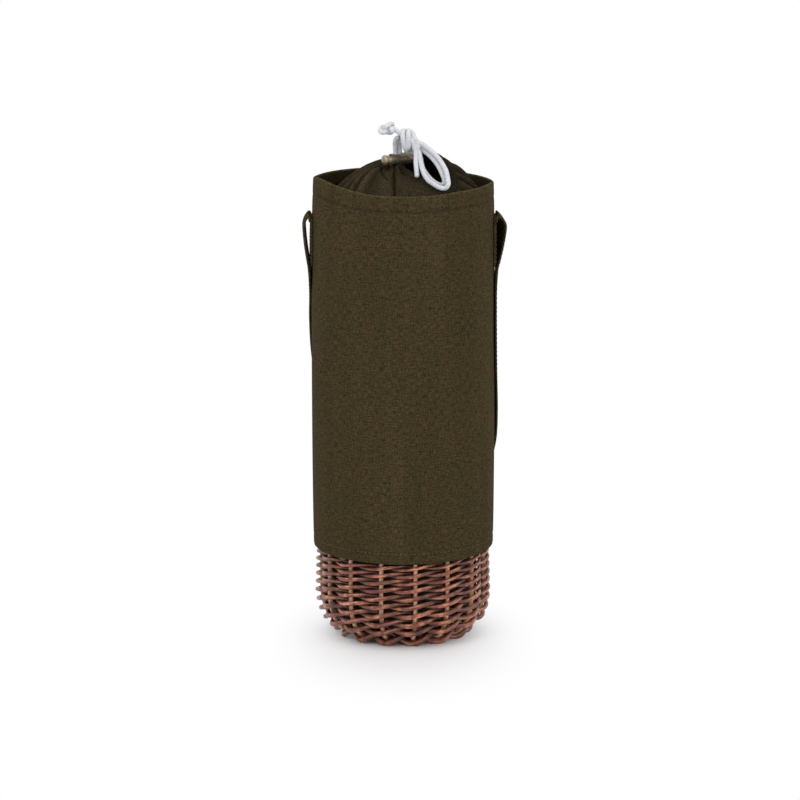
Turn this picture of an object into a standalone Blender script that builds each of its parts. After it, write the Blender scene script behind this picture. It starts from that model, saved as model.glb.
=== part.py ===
"""Wine bottle basket: a canvas sleeve over an insulated cup, on a foot of woven willow.

Run with: blender --background --python part.py
Units are metres, +Z is up and the front faces -Y. The origin is the middle of the base, on the floor.
"""

import math

import bmesh
import bpy
from mathutils import Vector
from mathutils.geometry import interpolate_bezier

# Clearances between pieces that touch
SEAT_GAP = 0.0003
OVERRUN = 0.002

# Canvas sleeve
RIM_HEIGHT = 0.355
HEM_HEIGHT = 0.070
HEM_RADIUS = 0.0694
RIM_INSET = 0.0002
RIM_RADIUS = HEM_RADIUS - RIM_INSET
BELLY_SWELL = 0.0012
CANVAS_THICKNESS = 0.0010
HEM_THICKNESS = 0.0013
RIM_FOLD_HEIGHT = 0.015
HEM_FOLD_HEIGHT = 0.010
BODY_SEGMENTS = 32

# Willow cup: upright stakes that leave the base on a quarter of an ellipse
STAKE_COUNT = 15
FIRST_STAKE_ANGLE = math.radians(8.5)
STAKES_TO_BACK = 7
STAKE_INSET = 0.0062
STAKE_CIRCLE_RADIUS = HEM_RADIUS - STAKE_INSET
STAKE_RADIUS = 0.0017
STAKE_TOP_HEIGHT = 0.0790
BASE_FLAT_SHARE = 0.72
BASE_FLAT_RADIUS = STAKE_CIRCLE_RADIUS * BASE_FLAT_SHARE
BASE_PLANE_HEIGHT = 0.0050
SHOULDER_HEIGHT = 0.0360
STAKE_TAIL_SHARE = 0.747
STAKE_TAIL_RADIUS = BASE_FLAT_RADIUS * STAKE_TAIL_SHARE
WEAVE_GAP = 0.00025

# Two weavers that twist round each other between the stakes, one of them in front of every stake
WEAVER_STRANDS = 2
WEAVER_BUTT_RADIUS = 0.00172
WEAVER_TIP_RADIUS = 0.00115
CROSSING_GAP = 0.0002
ROW_GAP = 0.00036

# Paired wale round the foot and border round the top
FOOT_ROD_RADIUS = 0.0021
FOOT_WEAR_DEPTH = 0.0003
BORDER_ROD_RADIUS = 0.0013
STAKE_ABOVE_BORDER = 0.0034
BORDER_HEIGHT = STAKE_TOP_HEIGHT - STAKE_ABOVE_BORDER
POINTS_PER_STAKE = 2
RING_JOINT = 0.0022

# Base sticks and base weavers
SPOKE_COUNT = 8
SPOKE_RADIUS = 0.0018
SPOKE_END_INSET = 0.0015
SPOKE_END_RADIUS = BASE_FLAT_RADIUS - SPOKE_END_INSET
SINGLE_SPOKE_ANGLE = math.radians(5.5)
SPOKE_FLAT_SHARE = 0.275
STICK_DIRECTION = math.radians(50.5)
SPLIT_STICK_AXIS_HEIGHT = 0.0013
CROSS_SHARE = 0.198
CROSS_HALF_LENGTH = BASE_FLAT_RADIUS * CROSS_SHARE
BASE_WEAVE_START_SHARE = 0.4615
BASE_WEAVE_START_RADIUS = BASE_FLAT_RADIUS * BASE_WEAVE_START_SHARE
BASE_ROW_GAP = 0.00045
BASE_WEAVER_RADIUS = 0.0013

# Insulated cup, padding, board and lining
CUP_WEAVE_DEPTH = 0.0059
CUP_RADIUS = STAKE_CIRCLE_RADIUS - CUP_WEAVE_DEPTH
CUP_WALL = 0.0040
CUP_FLOOR_INSET = 0.0025
CUP_FLOOR_RADIUS = BASE_FLAT_RADIUS - CUP_FLOOR_INSET
CUP_BOTTOM_HEIGHT = 0.0103
CUP_BELOW_RIM = 0.0140
CUP_TOP_HEIGHT = RIM_HEIGHT - CUP_BELOW_RIM
BOARD_THICKNESS = 0.0020
LINING_THICKNESS = 0.0008
LINING_FLANGE_INSET = 0.0024
LINING_FLANGE_RADIUS = RIM_RADIUS - LINING_FLANGE_INSET

# Collar: height and radius of the seam that joins it inside the rim, and its hem round the drawcord
COLLAR_BELOW_RIM = 0.0120
COLLAR_SEAM_HEIGHT = RIM_HEIGHT - COLLAR_BELOW_RIM
COLLAR_SEAM_INSET = 0.0018
COLLAR_SEAM_RADIUS = RIM_RADIUS - COLLAR_SEAM_INSET
COLLAR_THICKNESS = 0.0009
COLLAR_BULGE = 0.0065
COLLAR_FOLD = 0.0032
COLLAR_FOLDS = 9
COLLAR_ROWS = 5
COLLAR_STATIONS = 32
HEM_END_SHARES = (0.0, 0.007, 0.012, 0.017, 0.022, 0.027)
HEM_OPENING_SHARES = (0.12, 0.14, 0.32, 0.55, 0.78)
HEM_ROLL_RADIUS = 0.0028
HEM_ROLL_STEPS = 5
MOUTH_REACH = 0.0680
MOUTH_RISE = 0.0320

# Drawcord and its knots
CORD_RADIUS = 0.00183
STRAND_GAP = 0.0003
KNOT_HALF_WIDTH = 0.0076
KNOT_HALF_DEPTH = 0.0050
KNOT_HALF_HEIGHT = 0.0088
STOPPER_LENGTH = 0.0142
STOPPER_SMALL_RADIUS = 0.0031
STOPPER_LARGE_RADIUS = 0.0041
STOPPER_WAIST_RADIUS = 0.0024

# Cord lock, in its own frame: the cords pass through its origin and the plunger slides along its X
LOCK_PLACE = Vector((-0.0044, -0.0150, 0.3757))
LOCK_YAW = math.radians(30)
BARREL_RADIUS = 0.0050
BARREL_MOUTH_X = -0.0062
BARREL_END_X = 0.0147
BARREL_END_WALL = 0.0020
BARREL_EDGE = 0.0010
BARREL_GROOVE_WIDTH = 0.0012
BARREL_GROOVE_DEPTH = 0.0005
PLUNGER_RADIUS = 0.00355
PLUNGER_CLEARANCE = 0.0003
PLUNGER_TRAVEL = 0.0030
PLUNGER_END_X = 0.0072
BUTTON_RADIUS = 0.0046
BUTTON_TIP_X = -0.0129
BUTTON_NECK_X = -0.0095
SLOT_CLEARANCE = 0.0003
SPRING_WIRE_RADIUS = 0.0003
SPRING_RADIUS = 0.0026
SPRING_COILS = 4
LOCK_SEGMENTS = 20

# Carry strap and its two sewn ends
STRAP_WIDTH = 0.0250
STRAP_THICKNESS = 0.0014
STRAP_BELOW_RIM = 0.0245
STRAP_FOLD_HEIGHT = RIM_HEIGHT - STRAP_BELOW_RIM
STRAP_PIVOT_DROP = 0.0030
STRAP_PIVOT_HEIGHT = STRAP_FOLD_HEIGHT - STRAP_PIVOT_DROP
STRAP_FOLD_RADIUS = 0.0015
STRAP_ABOVE_HEM = 0.0370
STRAP_HANG = STRAP_FOLD_HEIGHT - HEM_HEIGHT - STRAP_ABOVE_HEM
SEWN_END_DROP = 0.0022
SEWN_END_TOP = STRAP_FOLD_HEIGHT - SEWN_END_DROP
SEWN_END_LENGTH = 0.0378
SEWN_END_BOTTOM = SEWN_END_TOP - SEWN_END_LENGTH
SEWN_END_COLUMNS = 6


def clear_scene():
    """Empty the file, so that the script gives the same result in any session."""
    for item in list(bpy.data.objects):
        bpy.data.objects.remove(item, do_unlink=True)


def new_collection(name):
    collection = bpy.data.collections.new(name)
    bpy.context.scene.collection.children.link(collection)
    return collection


def finish(name, colour, roughness, metallic=0.0):
    """A Principled material in one plain colour."""
    material = bpy.data.materials.new(name)
    material.use_nodes = True
    shader = material.node_tree.nodes["Principled BSDF"]
    shader.inputs["Base Color"].default_value = (*colour, 1.0)
    shader.inputs["Roughness"].default_value = roughness
    shader.inputs["Metallic"].default_value = metallic
    material.diffuse_color = (*colour, 1.0)
    return material


def place(item, collection, material):
    collection.objects.link(item)
    if material:
        item.data.materials.append(material)
    return item


def around(radius, angle, height):
    """The point at an angle from the front, turning towards +X."""
    return Vector((radius * math.sin(angle), -radius * math.cos(angle), height))


def mix(start, end, share):
    return start + (end - start) * share


def smooth_route(route, steps):
    """Points on a smooth curve through a route's own points."""
    points = [Vector(p) for p in route]
    before = [points[0] * 2 - points[1]] + points[:-1]
    after = points[1:] + [points[-1] * 2 - points[-2]]
    handles = [(b - a) / 6 for a, b in zip(before, after)]
    smooth = [points[0]]
    for i in range(len(points) - 1):
        piece = interpolate_bezier(
            points[i], points[i] + handles[i], points[i + 1] - handles[i + 1], points[i + 1], steps + 1
        )
        smooth.extend(piece[1:])
    return smooth


def rod(name, points, radii, material, collection, cyclic=False, resolution=1, twist="MINIMUM"):
    """A round rod along the points, with a radius for each of them."""
    curve = bpy.data.curves.new(name, "CURVE")
    curve.dimensions = "3D"
    curve.twist_mode = twist
    curve.bevel_depth = 1.0
    curve.bevel_resolution = resolution
    curve.use_fill_caps = True
    spline = curve.splines.new("POLY")
    spline.points.add(len(points) - 1)
    spline.use_cyclic_u = cyclic
    spline.use_smooth = True
    for target, point, radius in zip(spline.points, points, radii):
        target.co = (*point, 1.0)
        target.radius = radius
    return place(bpy.data.objects.new(name, curve), collection, material)


def even_rod(name, points, radius, material, collection, **options):
    """A round rod of one radius."""
    return rod(name, points, [radius] * len(points), material, collection, **options)


def as_mesh(item):
    """The same object as a mesh with welded caps, so that it can be cut."""
    graph = bpy.context.evaluated_depsgraph_get()
    mesh = bpy.data.meshes.new_from_object(item.evaluated_get(graph))
    work = bmesh.new()
    work.from_mesh(mesh)
    bmesh.ops.remove_doubles(work, verts=work.verts, dist=WEAVE_GAP / STAKE_COUNT)
    work.to_mesh(mesh)
    work.free()
    name = item.name
    matrix = item.matrix_world.copy()
    collections = list(item.users_collection)
    curve = item.data
    bpy.data.objects.remove(item)
    bpy.data.curves.remove(curve)
    solid = bpy.data.objects.new(name, mesh)
    solid.matrix_world = matrix
    for collection in collections:
        collection.objects.link(solid)
    return solid


def turned(name, profile, closed, segments, material, collection):
    """A solid turned about Z from a profile of (radius, height) that runs down its outer side."""
    mesh = bpy.data.meshes.new(name)
    work = bmesh.new()
    corners = [work.verts.new((radius, 0, height)) for radius, height in profile]
    for first, second in zip(corners, corners[1:]):
        work.edges.new((first, second))
    if closed:
        work.edges.new((corners[-1], corners[0]))
    work.to_mesh(mesh)
    work.free()
    item = place(bpy.data.objects.new(name, mesh), collection, material)
    screw = item.modifiers.new("Turn", "SCREW")
    screw.axis = "Z"
    screw.steps = segments
    screw.render_steps = segments
    screw.use_merge_vertices = True
    screw.merge_threshold = 0.00001
    screw.use_smooth_shade = True
    return item


def cloth(name, rows, thickness, material, collection):
    """A sheet through rows of points, thickened evenly to both sides."""
    mesh = bpy.data.meshes.new(name)
    work = bmesh.new()
    grid = [[work.verts.new(point) for point in row] for row in rows]
    for lower, upper in zip(grid, grid[1:]):
        for i in range(len(lower) - 1):
            work.faces.new((lower[i], lower[i + 1], upper[i + 1], upper[i]))
    work.to_mesh(mesh)
    work.free()
    mesh.shade_smooth()
    item = place(bpy.data.objects.new(name, mesh), collection, material)
    solidify = item.modifiers.new("Thickness", "SOLIDIFY")
    solidify.thickness = thickness
    solidify.offset = 0
    return item


def cut(item, cutter):
    """Take the cutter's shape out of the item."""
    boolean = item.modifiers.new("Cut", "BOOLEAN")
    boolean.operation = "DIFFERENCE"
    boolean.solver = "EXACT"
    boolean.object = cutter


def block_cutter(name, size, centre, collection):
    """A plain block that cuts and isn't part of the object."""
    mesh = bpy.data.meshes.new(name)
    work = bmesh.new()
    bmesh.ops.create_cube(work, size=1)
    bmesh.ops.scale(work, vec=size, verts=work.verts)
    bmesh.ops.translate(work, vec=centre, verts=work.verts)
    work.to_mesh(mesh)
    work.free()
    cutter = place(bpy.data.objects.new(name, mesh), collection, None)
    cutter.hide_render = True
    cutter.display_type = "WIRE"
    return cutter


def quarter_samples(count=120):
    """The curve from the flat base to the upright side, as (arc length, radius, height, outward)."""
    reach = STAKE_CIRCLE_RADIUS - BASE_FLAT_RADIUS
    rise = SHOULDER_HEIGHT - BASE_PLANE_HEIGHT
    samples = []
    arc = BASE_FLAT_RADIUS
    last = Vector((BASE_FLAT_RADIUS, BASE_PLANE_HEIGHT))
    for i in range(count + 1):
        turn = math.pi / 2 * i / count
        spot = Vector((BASE_FLAT_RADIUS + reach * math.sin(turn), SHOULDER_HEIGHT - rise * math.cos(turn)))
        outward = Vector((rise * math.sin(turn), -reach * math.cos(turn))).normalized()
        arc += (spot - last).length
        last = spot
        samples.append((arc, spot, outward))
    return samples


QUARTER = quarter_samples()


def rib(arc):
    """(radius, height) and the outward direction of the willow's line, at an arc length from the axis."""
    if arc <= QUARTER[0][0]:
        return Vector((arc, BASE_PLANE_HEIGHT)), Vector((0, -1))
    if arc >= QUARTER[-1][0]:
        return Vector((STAKE_CIRCLE_RADIUS, SHOULDER_HEIGHT + arc - QUARTER[-1][0])), Vector((1, 0))
    for (low, spot_a, out_a), (high, spot_b, out_b) in zip(QUARTER, QUARTER[1:]):
        if arc <= high:
            share = (arc - low) / (high - low)
            return spot_a.lerp(spot_b, share), out_a.lerp(out_b, share).normalized()
    return QUARTER[-1][1], QUARTER[-1][2]


def arc_at_height(height):
    """The arc length at which the upright side reaches a height."""
    return QUARTER[-1][0] + height - SHOULDER_HEIGHT


def on_rib(arc, offset, angle):
    """The point an offset outside the willow's line, at an angle from the front."""
    spot, outward = rib(arc)
    spot = spot + outward * offset
    return around(spot.x, angle, spot.y)


def stake_angles():
    return [FIRST_STAKE_ANGLE + math.tau * k / STAKE_COUNT for k in range(STAKE_COUNT)]


def spoke_angles():
    """Each spoke lies midway between two stakes, and the last beside the single stake that is left."""
    stakes_round = stake_angles()
    between = [(first + second) / 2 for first, second in zip(stakes_round[0::2], stakes_round[1::2])]
    return between + [stakes_round[-1] + SINGLE_SPOKE_ANGLE]


def foot_swing():
    return STAKE_RADIUS + FOOT_ROD_RADIUS + 2 * WEAVE_GAP


def foot_arc():
    """Where along the willow's line the foot wale lies, so that it wears flat on the floor."""
    low, high = QUARTER[0][0], QUARTER[-1][0]
    for _ in range(40):
        middle = (low + high) / 2
        spot, outward = rib(middle)
        lowest = spot.y + outward.y * foot_swing() - FOOT_ROD_RADIUS
        if lowest < -FOOT_WEAR_DEPTH:
            low = middle
        else:
            high = middle
    return low


def side_weavers(willow, collection):
    """The two weavers that make the willow's side, thick at the foot and fine at the top."""
    spare = WEAVER_BUTT_RADIUS + CROSSING_GAP + WEAVER_BUTT_RADIUS + ROW_GAP
    start = foot_arc() + 2 * (FOOT_ROD_RADIUS + WEAVE_GAP) + spare
    border_bottom = arc_at_height(BORDER_HEIGHT) - 2 * BORDER_ROD_RADIUS - WEAVE_GAP
    end = border_bottom - 2 * WEAVER_TIP_RADIUS - CROSSING_GAP - ROW_GAP
    step_angle = math.tau / STAKE_COUNT / POINTS_PER_STAKE
    first = stake_angles()[STAKES_TO_BACK]
    for strand, name in enumerate(("side_weaver_a", "side_weaver_b")):
        points, radii = [], []
        arc = start
        step = 0
        while arc < end:
            radius = mix(WEAVER_BUTT_RADIUS, WEAVER_TIP_RADIUS, (arc - start) / (end - start))
            twist = math.pi * (step / POINTS_PER_STAKE + strand)
            lift = (radius + CROSSING_GAP) * math.sin(twist)
            swing = (STAKE_RADIUS + radius + WEAVE_GAP) * math.cos(twist)
            points.append(on_rib(arc + lift, swing, first + step * step_angle))
            radii.append(radius)
            arc += WEAVER_STRANDS * (2 * radius + ROW_GAP) / STAKE_COUNT / POINTS_PER_STAKE
            step += 1
        rod(name, points, radii, willow, collection, twist="Z_UP")


def base_weavers(willow, collection):
    """The two finer weavers that fill the base: each passes over every second spoke and under the others."""
    end = foot_arc() - foot_swing() - FOOT_ROD_RADIUS - SEAT_GAP - 3 * BASE_WEAVER_RADIUS
    rise = WEAVER_STRANDS * (2 * BASE_WEAVER_RADIUS + BASE_ROW_GAP)
    clear = SPOKE_RADIUS + BASE_WEAVER_RADIUS + WEAVE_GAP
    spokes = spoke_angles()
    for strand, name in enumerate(("base_weaver_a", "base_weaver_b")):
        points = []
        arc = BASE_WEAVE_START_RADIUS
        turn = 0
        while arc < end:
            for k, angle in enumerate(spokes):
                side = 1 if (k + strand) % 2 == 0 else -1
                before = (angle - spokes[k - 1]) % math.tau
                after = (spokes[(k + 1) % SPOKE_COUNT] - angle) % math.tau
                for theta in (angle - before * SPOKE_FLAT_SHARE, angle + after * SPOKE_FLAT_SHARE):
                    turned_by = turn + (theta - spokes[0]) / math.tau
                    arc = BASE_WEAVE_START_RADIUS + rise * (turned_by + strand / WEAVER_STRANDS)
                    if arc < end:
                        points.append(on_rib(arc, side * clear, theta))
            turn += 1
        even_rod(name, points, BASE_WEAVER_RADIUS, willow, collection, twist="Z_UP")


def paired_ring(name, arc, swing, lift, radius, strand, willow, collection):
    """One of two rods that twist round each other and round every stake, and end against each other."""
    first = stake_angles()[STAKES_TO_BACK]
    points = []
    for i in range(STAKE_COUNT * POINTS_PER_STAKE + 1):
        twist = math.pi * (i / POINTS_PER_STAKE + strand)
        angle = first + math.tau * i / STAKE_COUNT / POINTS_PER_STAKE
        points.append(on_rib(arc + lift * math.sin(twist), swing * math.cos(twist), angle))
    points[0] = points[0] + (points[1] - points[0]).normalized() * RING_JOINT / 2
    points[-1] = points[-1] + (points[-2] - points[-1]).normalized() * RING_JOINT / 2
    return even_rod(name, points, radius, willow, collection, twist="Z_UP")


def foot_wale(willow, collection, floor):
    """The thick paired rods that the basket stands on, worn flat underneath."""
    lift = FOOT_ROD_RADIUS + 2 * WEAVE_GAP
    for strand, name in enumerate(("foot_wale_a", "foot_wale_b")):
        ring = paired_ring(name, foot_arc(), foot_swing(), lift, FOOT_ROD_RADIUS, strand, willow, collection)
        cut(as_mesh(ring), floor)


def top_border(willow, collection):
    """The finer paired rods that close the willow's top edge, under the canvas."""
    swing = STAKE_RADIUS + BORDER_ROD_RADIUS + WEAVE_GAP
    lift = BORDER_ROD_RADIUS + WEAVE_GAP
    arc = arc_at_height(BORDER_HEIGHT)
    for strand, name in enumerate(("top_border_a", "top_border_b")):
        paired_ring(name, arc, swing, lift, BORDER_ROD_RADIUS, strand, willow, collection)


def stakes(willow, collection):
    """Fifteen stakes: a tail beside a spoke, the bend at the foot, and the upright."""
    inner_offset = SPOKE_RADIUS + STAKE_RADIUS + SEAT_GAP
    wale = foot_arc()
    rise_shares = (0.12, 0.3, 0.5, 0.75, 1.0)
    spokes = spoke_angles()
    for k, angle in enumerate(stake_angles()):
        side = -1 if k % 2 == 0 else 1
        spoke = spokes[k // 2]
        tail = around(STAKE_TAIL_RADIUS, spoke, BASE_PLANE_HEIGHT)
        across = Vector((math.cos(spoke), math.sin(spoke), 0)) * side * inner_offset
        points = [tail + across, on_rib(wale, 0, angle)]
        for share in rise_shares:
            points.append(on_rib(mix(wale, QUARTER[-1][0], share), 0, angle))
        points.append(on_rib(arc_at_height(STAKE_TOP_HEIGHT), 0, angle))
        even_rod(f"stake_{k + 1:02d}", points, STAKE_RADIUS, willow, collection)


def base_sticks(willow, collection, floor):
    """Two split sticks below and two above make the cross, and their ends open out as eight spokes."""
    pitch = 2 * SPOKE_RADIUS + SEAT_GAP
    upper_height = SPLIT_STICK_AXIS_HEIGHT + pitch
    spokes = spoke_angles()
    upright = Vector((0, 0, 1))
    # The spokes at a stick's two ends, the quarter turns of its middle, its sideways place and its height
    layers = (
        (5, 0, 0, 0, SPLIT_STICK_AXIS_HEIGHT),
        (4, 1, 0, pitch, SPLIT_STICK_AXIS_HEIGHT),
        (7, 2, 1, -pitch / 2, upper_height),
        (6, 3, 1, pitch / 2, upper_height),
    )
    for number, (start, end, turns, offset, height) in enumerate(layers, 1):
        direction = STICK_DIRECTION + turns * math.pi / 2
        along = around(1, direction, 0)
        left = around(1, direction + math.pi / 2, 0)
        middle = left * offset + upright * height
        points = [
            around(SPOKE_END_RADIUS, spokes[start], BASE_PLANE_HEIGHT),
            around(BASE_WEAVE_START_RADIUS, spokes[start], BASE_PLANE_HEIGHT),
            middle - along * CROSS_HALF_LENGTH,
            middle + along * CROSS_HALF_LENGTH,
            around(BASE_WEAVE_START_RADIUS, spokes[end], BASE_PLANE_HEIGHT),
            around(SPOKE_END_RADIUS, spokes[end], BASE_PLANE_HEIGHT),
        ]
        stick = even_rod(f"base_stick_{number}", points, SPOKE_RADIUS, willow, collection)
        if height < SPOKE_RADIUS:
            cut(as_mesh(stick), floor)


def cup_line(depth):
    """The cup's outer side, a depth inside the willow, from the floor's edge up to the top."""
    line = [Vector((CUP_FLOOR_RADIUS, CUP_BOTTOM_HEIGHT))]
    step_shares = (0.32, 0.48, 0.68, 1.0)
    start, end = QUARTER[0][0], QUARTER[-1][0]
    for share in step_shares:
        spot, outward = rib(mix(start, end, share))
        line.append(spot - outward * depth)
    line.append(Vector((CUP_RADIUS, CUP_TOP_HEIGHT)))
    return line


def inner_line(line, wall):
    """The line moved inwards by a wall, square to its own segments."""
    moved = []
    for i, spot in enumerate(line):
        before = line[max(i - 1, 0)]
        after = line[min(i + 1, len(line) - 1)]
        along = (after - before).normalized()
        moved.append(spot + Vector((-along.y, along.x)) * wall)
    moved[0] = Vector((moved[0].x, line[0].y + wall))
    moved[-1].y = line[-1].y
    return moved


def insulation(foam, collection):
    """The foam cup that the bottle stands in, and the padding between it and the canvas."""
    outer = cup_line(CUP_WEAVE_DEPTH)
    inner = inner_line(outer, CUP_WALL)
    profile = [(0, inner[0].y)] + [tuple(p) for p in inner] + [tuple(p) for p in reversed(outer)]
    profile.append((0, CUP_BOTTOM_HEIGHT))
    turned("insulated_cup", profile, False, BODY_SEGMENTS, foam, collection)

    bottom = STAKE_TOP_HEIGHT + 2 * SEAT_GAP
    inside = CUP_RADIUS + SEAT_GAP
    heights = [CUP_TOP_HEIGHT, mix(CUP_TOP_HEIGHT, bottom, 1 / 3), mix(CUP_TOP_HEIGHT, bottom, 2 / 3), bottom]
    side = [(canvas_radius(z) - CANVAS_THICKNESS - SEAT_GAP, z) for z in heights]
    side[-1] = (HEM_RADIUS - HEM_THICKNESS - SEAT_GAP, bottom)
    padding = [(inside, CUP_TOP_HEIGHT)] + side + [(inside, bottom)]
    turned("padding_sleeve", padding, True, BODY_SEGMENTS, foam, collection)


def lining_and_board(lining, board, collection):
    """The thin cloth bag inside the cup, with the stiff board that its floor lies on."""
    inner = inner_line(cup_line(CUP_WEAVE_DEPTH), CUP_WALL + SEAT_GAP)
    board_top = inner[0].y + BOARD_THICKNESS
    board_radius = inner[0].x
    stiff = [(0, board_top), (board_radius, board_top), (board_radius, inner[0].y), (0, inner[0].y)]
    turned("base_board", stiff, False, BODY_SEGMENTS, board, collection)

    floor = board_top + SEAT_GAP
    wall = [spot for spot in inner if spot.y > floor + LINING_THICKNESS]
    outer = [(board_radius, floor)] + [tuple(p) for p in wall[:-1]]
    top = CUP_TOP_HEIGHT + SEAT_GAP
    outer += [(wall[-1].x, top), (LINING_FLANGE_RADIUS, top)]
    inside = [(radius - LINING_THICKNESS, height) for radius, height in outer[:-1]]
    inside[0] = (inside[0][0], floor + LINING_THICKNESS)
    inside[-1] = (inside[-1][0], top + LINING_THICKNESS)
    profile = [(0, floor + LINING_THICKNESS)] + inside
    profile += [(LINING_FLANGE_RADIUS, top + LINING_THICKNESS)] + list(reversed(outer)) + [(0, floor)]
    turned("lining", profile, False, BODY_SEGMENTS, lining, collection)


def canvas_radius(height):
    """The sleeve's outer radius, which swells a little between the hem and the rim."""
    share = (height - HEM_HEIGHT) / (RIM_HEIGHT - HEM_HEIGHT)
    return mix(HEM_RADIUS, RIM_RADIUS, share) + BELLY_SWELL * (4 * share * (1 - share)) ** 0.6


def canvas_sleeve(canvas, collection):
    """The outer canvas, with a folded rim and a hem of two layers at the bottom."""
    wall_shares = (1.0, 0.75, 0.5, 0.25, 0.0)
    fold_top = RIM_HEIGHT - RIM_FOLD_HEIGHT
    fold_bottom = HEM_HEIGHT + HEM_FOLD_HEIGHT
    heights = [mix(fold_bottom, fold_top, share) for share in wall_shares]
    half = CANVAS_THICKNESS / 2
    outer = [(RIM_RADIUS - half, RIM_HEIGHT), (RIM_RADIUS, RIM_HEIGHT - half)]
    outer += [(canvas_radius(z), z) for z in heights]
    outer += [(HEM_RADIUS, HEM_HEIGHT + half), (HEM_RADIUS - half, HEM_HEIGHT)]
    inner_hem = HEM_RADIUS - HEM_THICKNESS
    inner = [(inner_hem, HEM_HEIGHT + half), (inner_hem, fold_bottom)]
    inner += [(canvas_radius(z) - CANVAS_THICKNESS, z) for z in reversed(heights[:-1])]
    inner += [(RIM_RADIUS - CANVAS_THICKNESS, RIM_HEIGHT - half)]
    turned("canvas_body", outer + inner, True, BODY_SEGMENTS, canvas, collection)


# The mouth's hem: angle on the seam circle, then x, y as shares of the mouth's reach and z of its rise
MOUTH_SHARES = (
    (-5.2, -0.053, -0.265, 0.731),
    (4, 0.020, -0.325, 0.71),
    (12, 0.090, -0.425, 0.66),
    (20, 0.220, -0.585, 0.57),
    (28, 0.350, -0.705, 0.45),
    (36, 0.450, -0.760, 0.37),
    (48, 0.525, -0.690, 0.385),
    (62, 0.550, -0.560, 0.48),
    (78, 0.535, -0.400, 0.63),
    (95, 0.485, -0.225, 0.79),
    (112, 0.410, -0.075, 0.93),
    (130, 0.315, 0.030, 1.0),
    (150, 0.220, 0.075, 1.0),
    (175, 0.118, 0.088, 0.985),
    (205, 0.015, 0.060, 0.955),
    (235, -0.075, 0.010, 0.92),
    (265, -0.140, -0.050, 0.875),
    (295, -0.172, -0.118, 0.83),
    (325, -0.160, -0.182, 0.775),
    (340, -0.146, -0.221, 0.75),
    (353.2, -0.112, -0.256, 0.73),
)


def mouth_stations():
    """Stations of the collar, closer at its two ends: (seam angle, middle of the hem, way along the hem)."""
    route = [Vector((angle / 360, 0, 0)) for angle, _, _, _ in MOUTH_SHARES]
    places = [
        Vector((x * MOUTH_REACH, y * MOUTH_REACH, COLLAR_SEAM_HEIGHT + rise * MOUTH_RISE))
        for _, x, y, rise in MOUTH_SHARES
    ]
    fine = 8
    angles = [p.x * math.tau for p in smooth_route(route, fine)]
    middles = smooth_route(places, fine)
    lengths = [0.0]
    for a, b, first, second in zip(middles, middles[1:], angles, angles[1:]):
        lengths.append(lengths[-1] + (b - a).length + COLLAR_SEAM_RADIUS / 3 * (second - first))
    steps = range(COLLAR_STATIONS + 1)
    even = [mix(HEM_END_SHARES[-1], 1 - HEM_END_SHARES[-1], i / COLLAR_STATIONS) for i in steps]
    shares = [*HEM_END_SHARES[:-1], *even, *(1 - share for share in reversed(HEM_END_SHARES[:-1]))]
    stations = []
    for part in shares:
        target = lengths[-1] * part
        k = max(j for j in range(len(lengths) - 1) if lengths[j] <= target)
        share = (target - lengths[k]) / (lengths[k + 1] - lengths[k])
        along = middles[min(k + 2, len(middles) - 1)] - middles[max(k - 1, 0)]
        middle = middles[k].lerp(middles[k + 1], share)
        stations.append((mix(angles[k], angles[k + 1], share), middle, along.normalized()))
    return stations


def fold_height(angle):
    """Ridges and valleys of the gathered cloth, with a smooth panel at the front right of the seam."""
    start, end = math.radians(42), math.radians(350)
    if not start < angle < end:
        return 0.0
    share = (angle - start) / (end - start)
    fade = min(1, share * COLLAR_FOLDS, (1 - share) * COLLAR_FOLDS)
    return -math.sin(math.tau * COLLAR_FOLDS * share) * fade


def collar(canvas, collection):
    """The gathered collar: up from its seam inside the rim, then rolled over the drawcord."""
    up = Vector((0, 0, 1))
    first_roll, last_roll = math.radians(-20), math.radians(205)
    rows = [[] for _ in range(COLLAR_ROWS + HEM_ROLL_STEPS)]
    stations = mouth_stations()
    for place_in_row, (angle, middle, along) in enumerate(stations):
        seam = around(COLLAR_SEAM_RADIUS, angle, COLLAR_SEAM_HEIGHT)
        span = (seam - middle).length
        out = seam - middle
        out.z = 0
        out = (out - along * out.dot(along)).normalized()
        raised = out.cross(along)
        raised = raised if raised.z > 0 else -raised
        edge = middle + (out * math.cos(first_roll) + raised * math.sin(first_roll)) * HEM_ROLL_RADIUS
        for i in range(COLLAR_ROWS):
            climb = i / COLLAR_ROWS
            swell = COLLAR_BULGE * math.sin(math.pi * climb ** 0.7) * min(1, span / COLLAR_SEAM_RADIUS * 1.2)
            fold = COLLAR_FOLD * fold_height(angle) * math.sin(math.pi * climb) ** 2
            rows[i].append(seam.lerp(edge, climb) + up * (swell + fold))
        from_end = min(place_in_row, len(stations) - 1 - place_in_row)
        cover = HEM_OPENING_SHARES[from_end] if from_end < len(HEM_OPENING_SHARES) else 1
        for i in range(HEM_ROLL_STEPS):
            turn = mix(first_roll, mix(first_roll, last_roll, cover), i / (HEM_ROLL_STEPS - 1))
            rolled = (out * math.cos(turn) + raised * math.sin(turn)) * HEM_ROLL_RADIUS
            rows[COLLAR_ROWS + i].append(middle + rolled)
    cloth("collar", rows, COLLAR_THICKNESS, canvas, collection)


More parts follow.
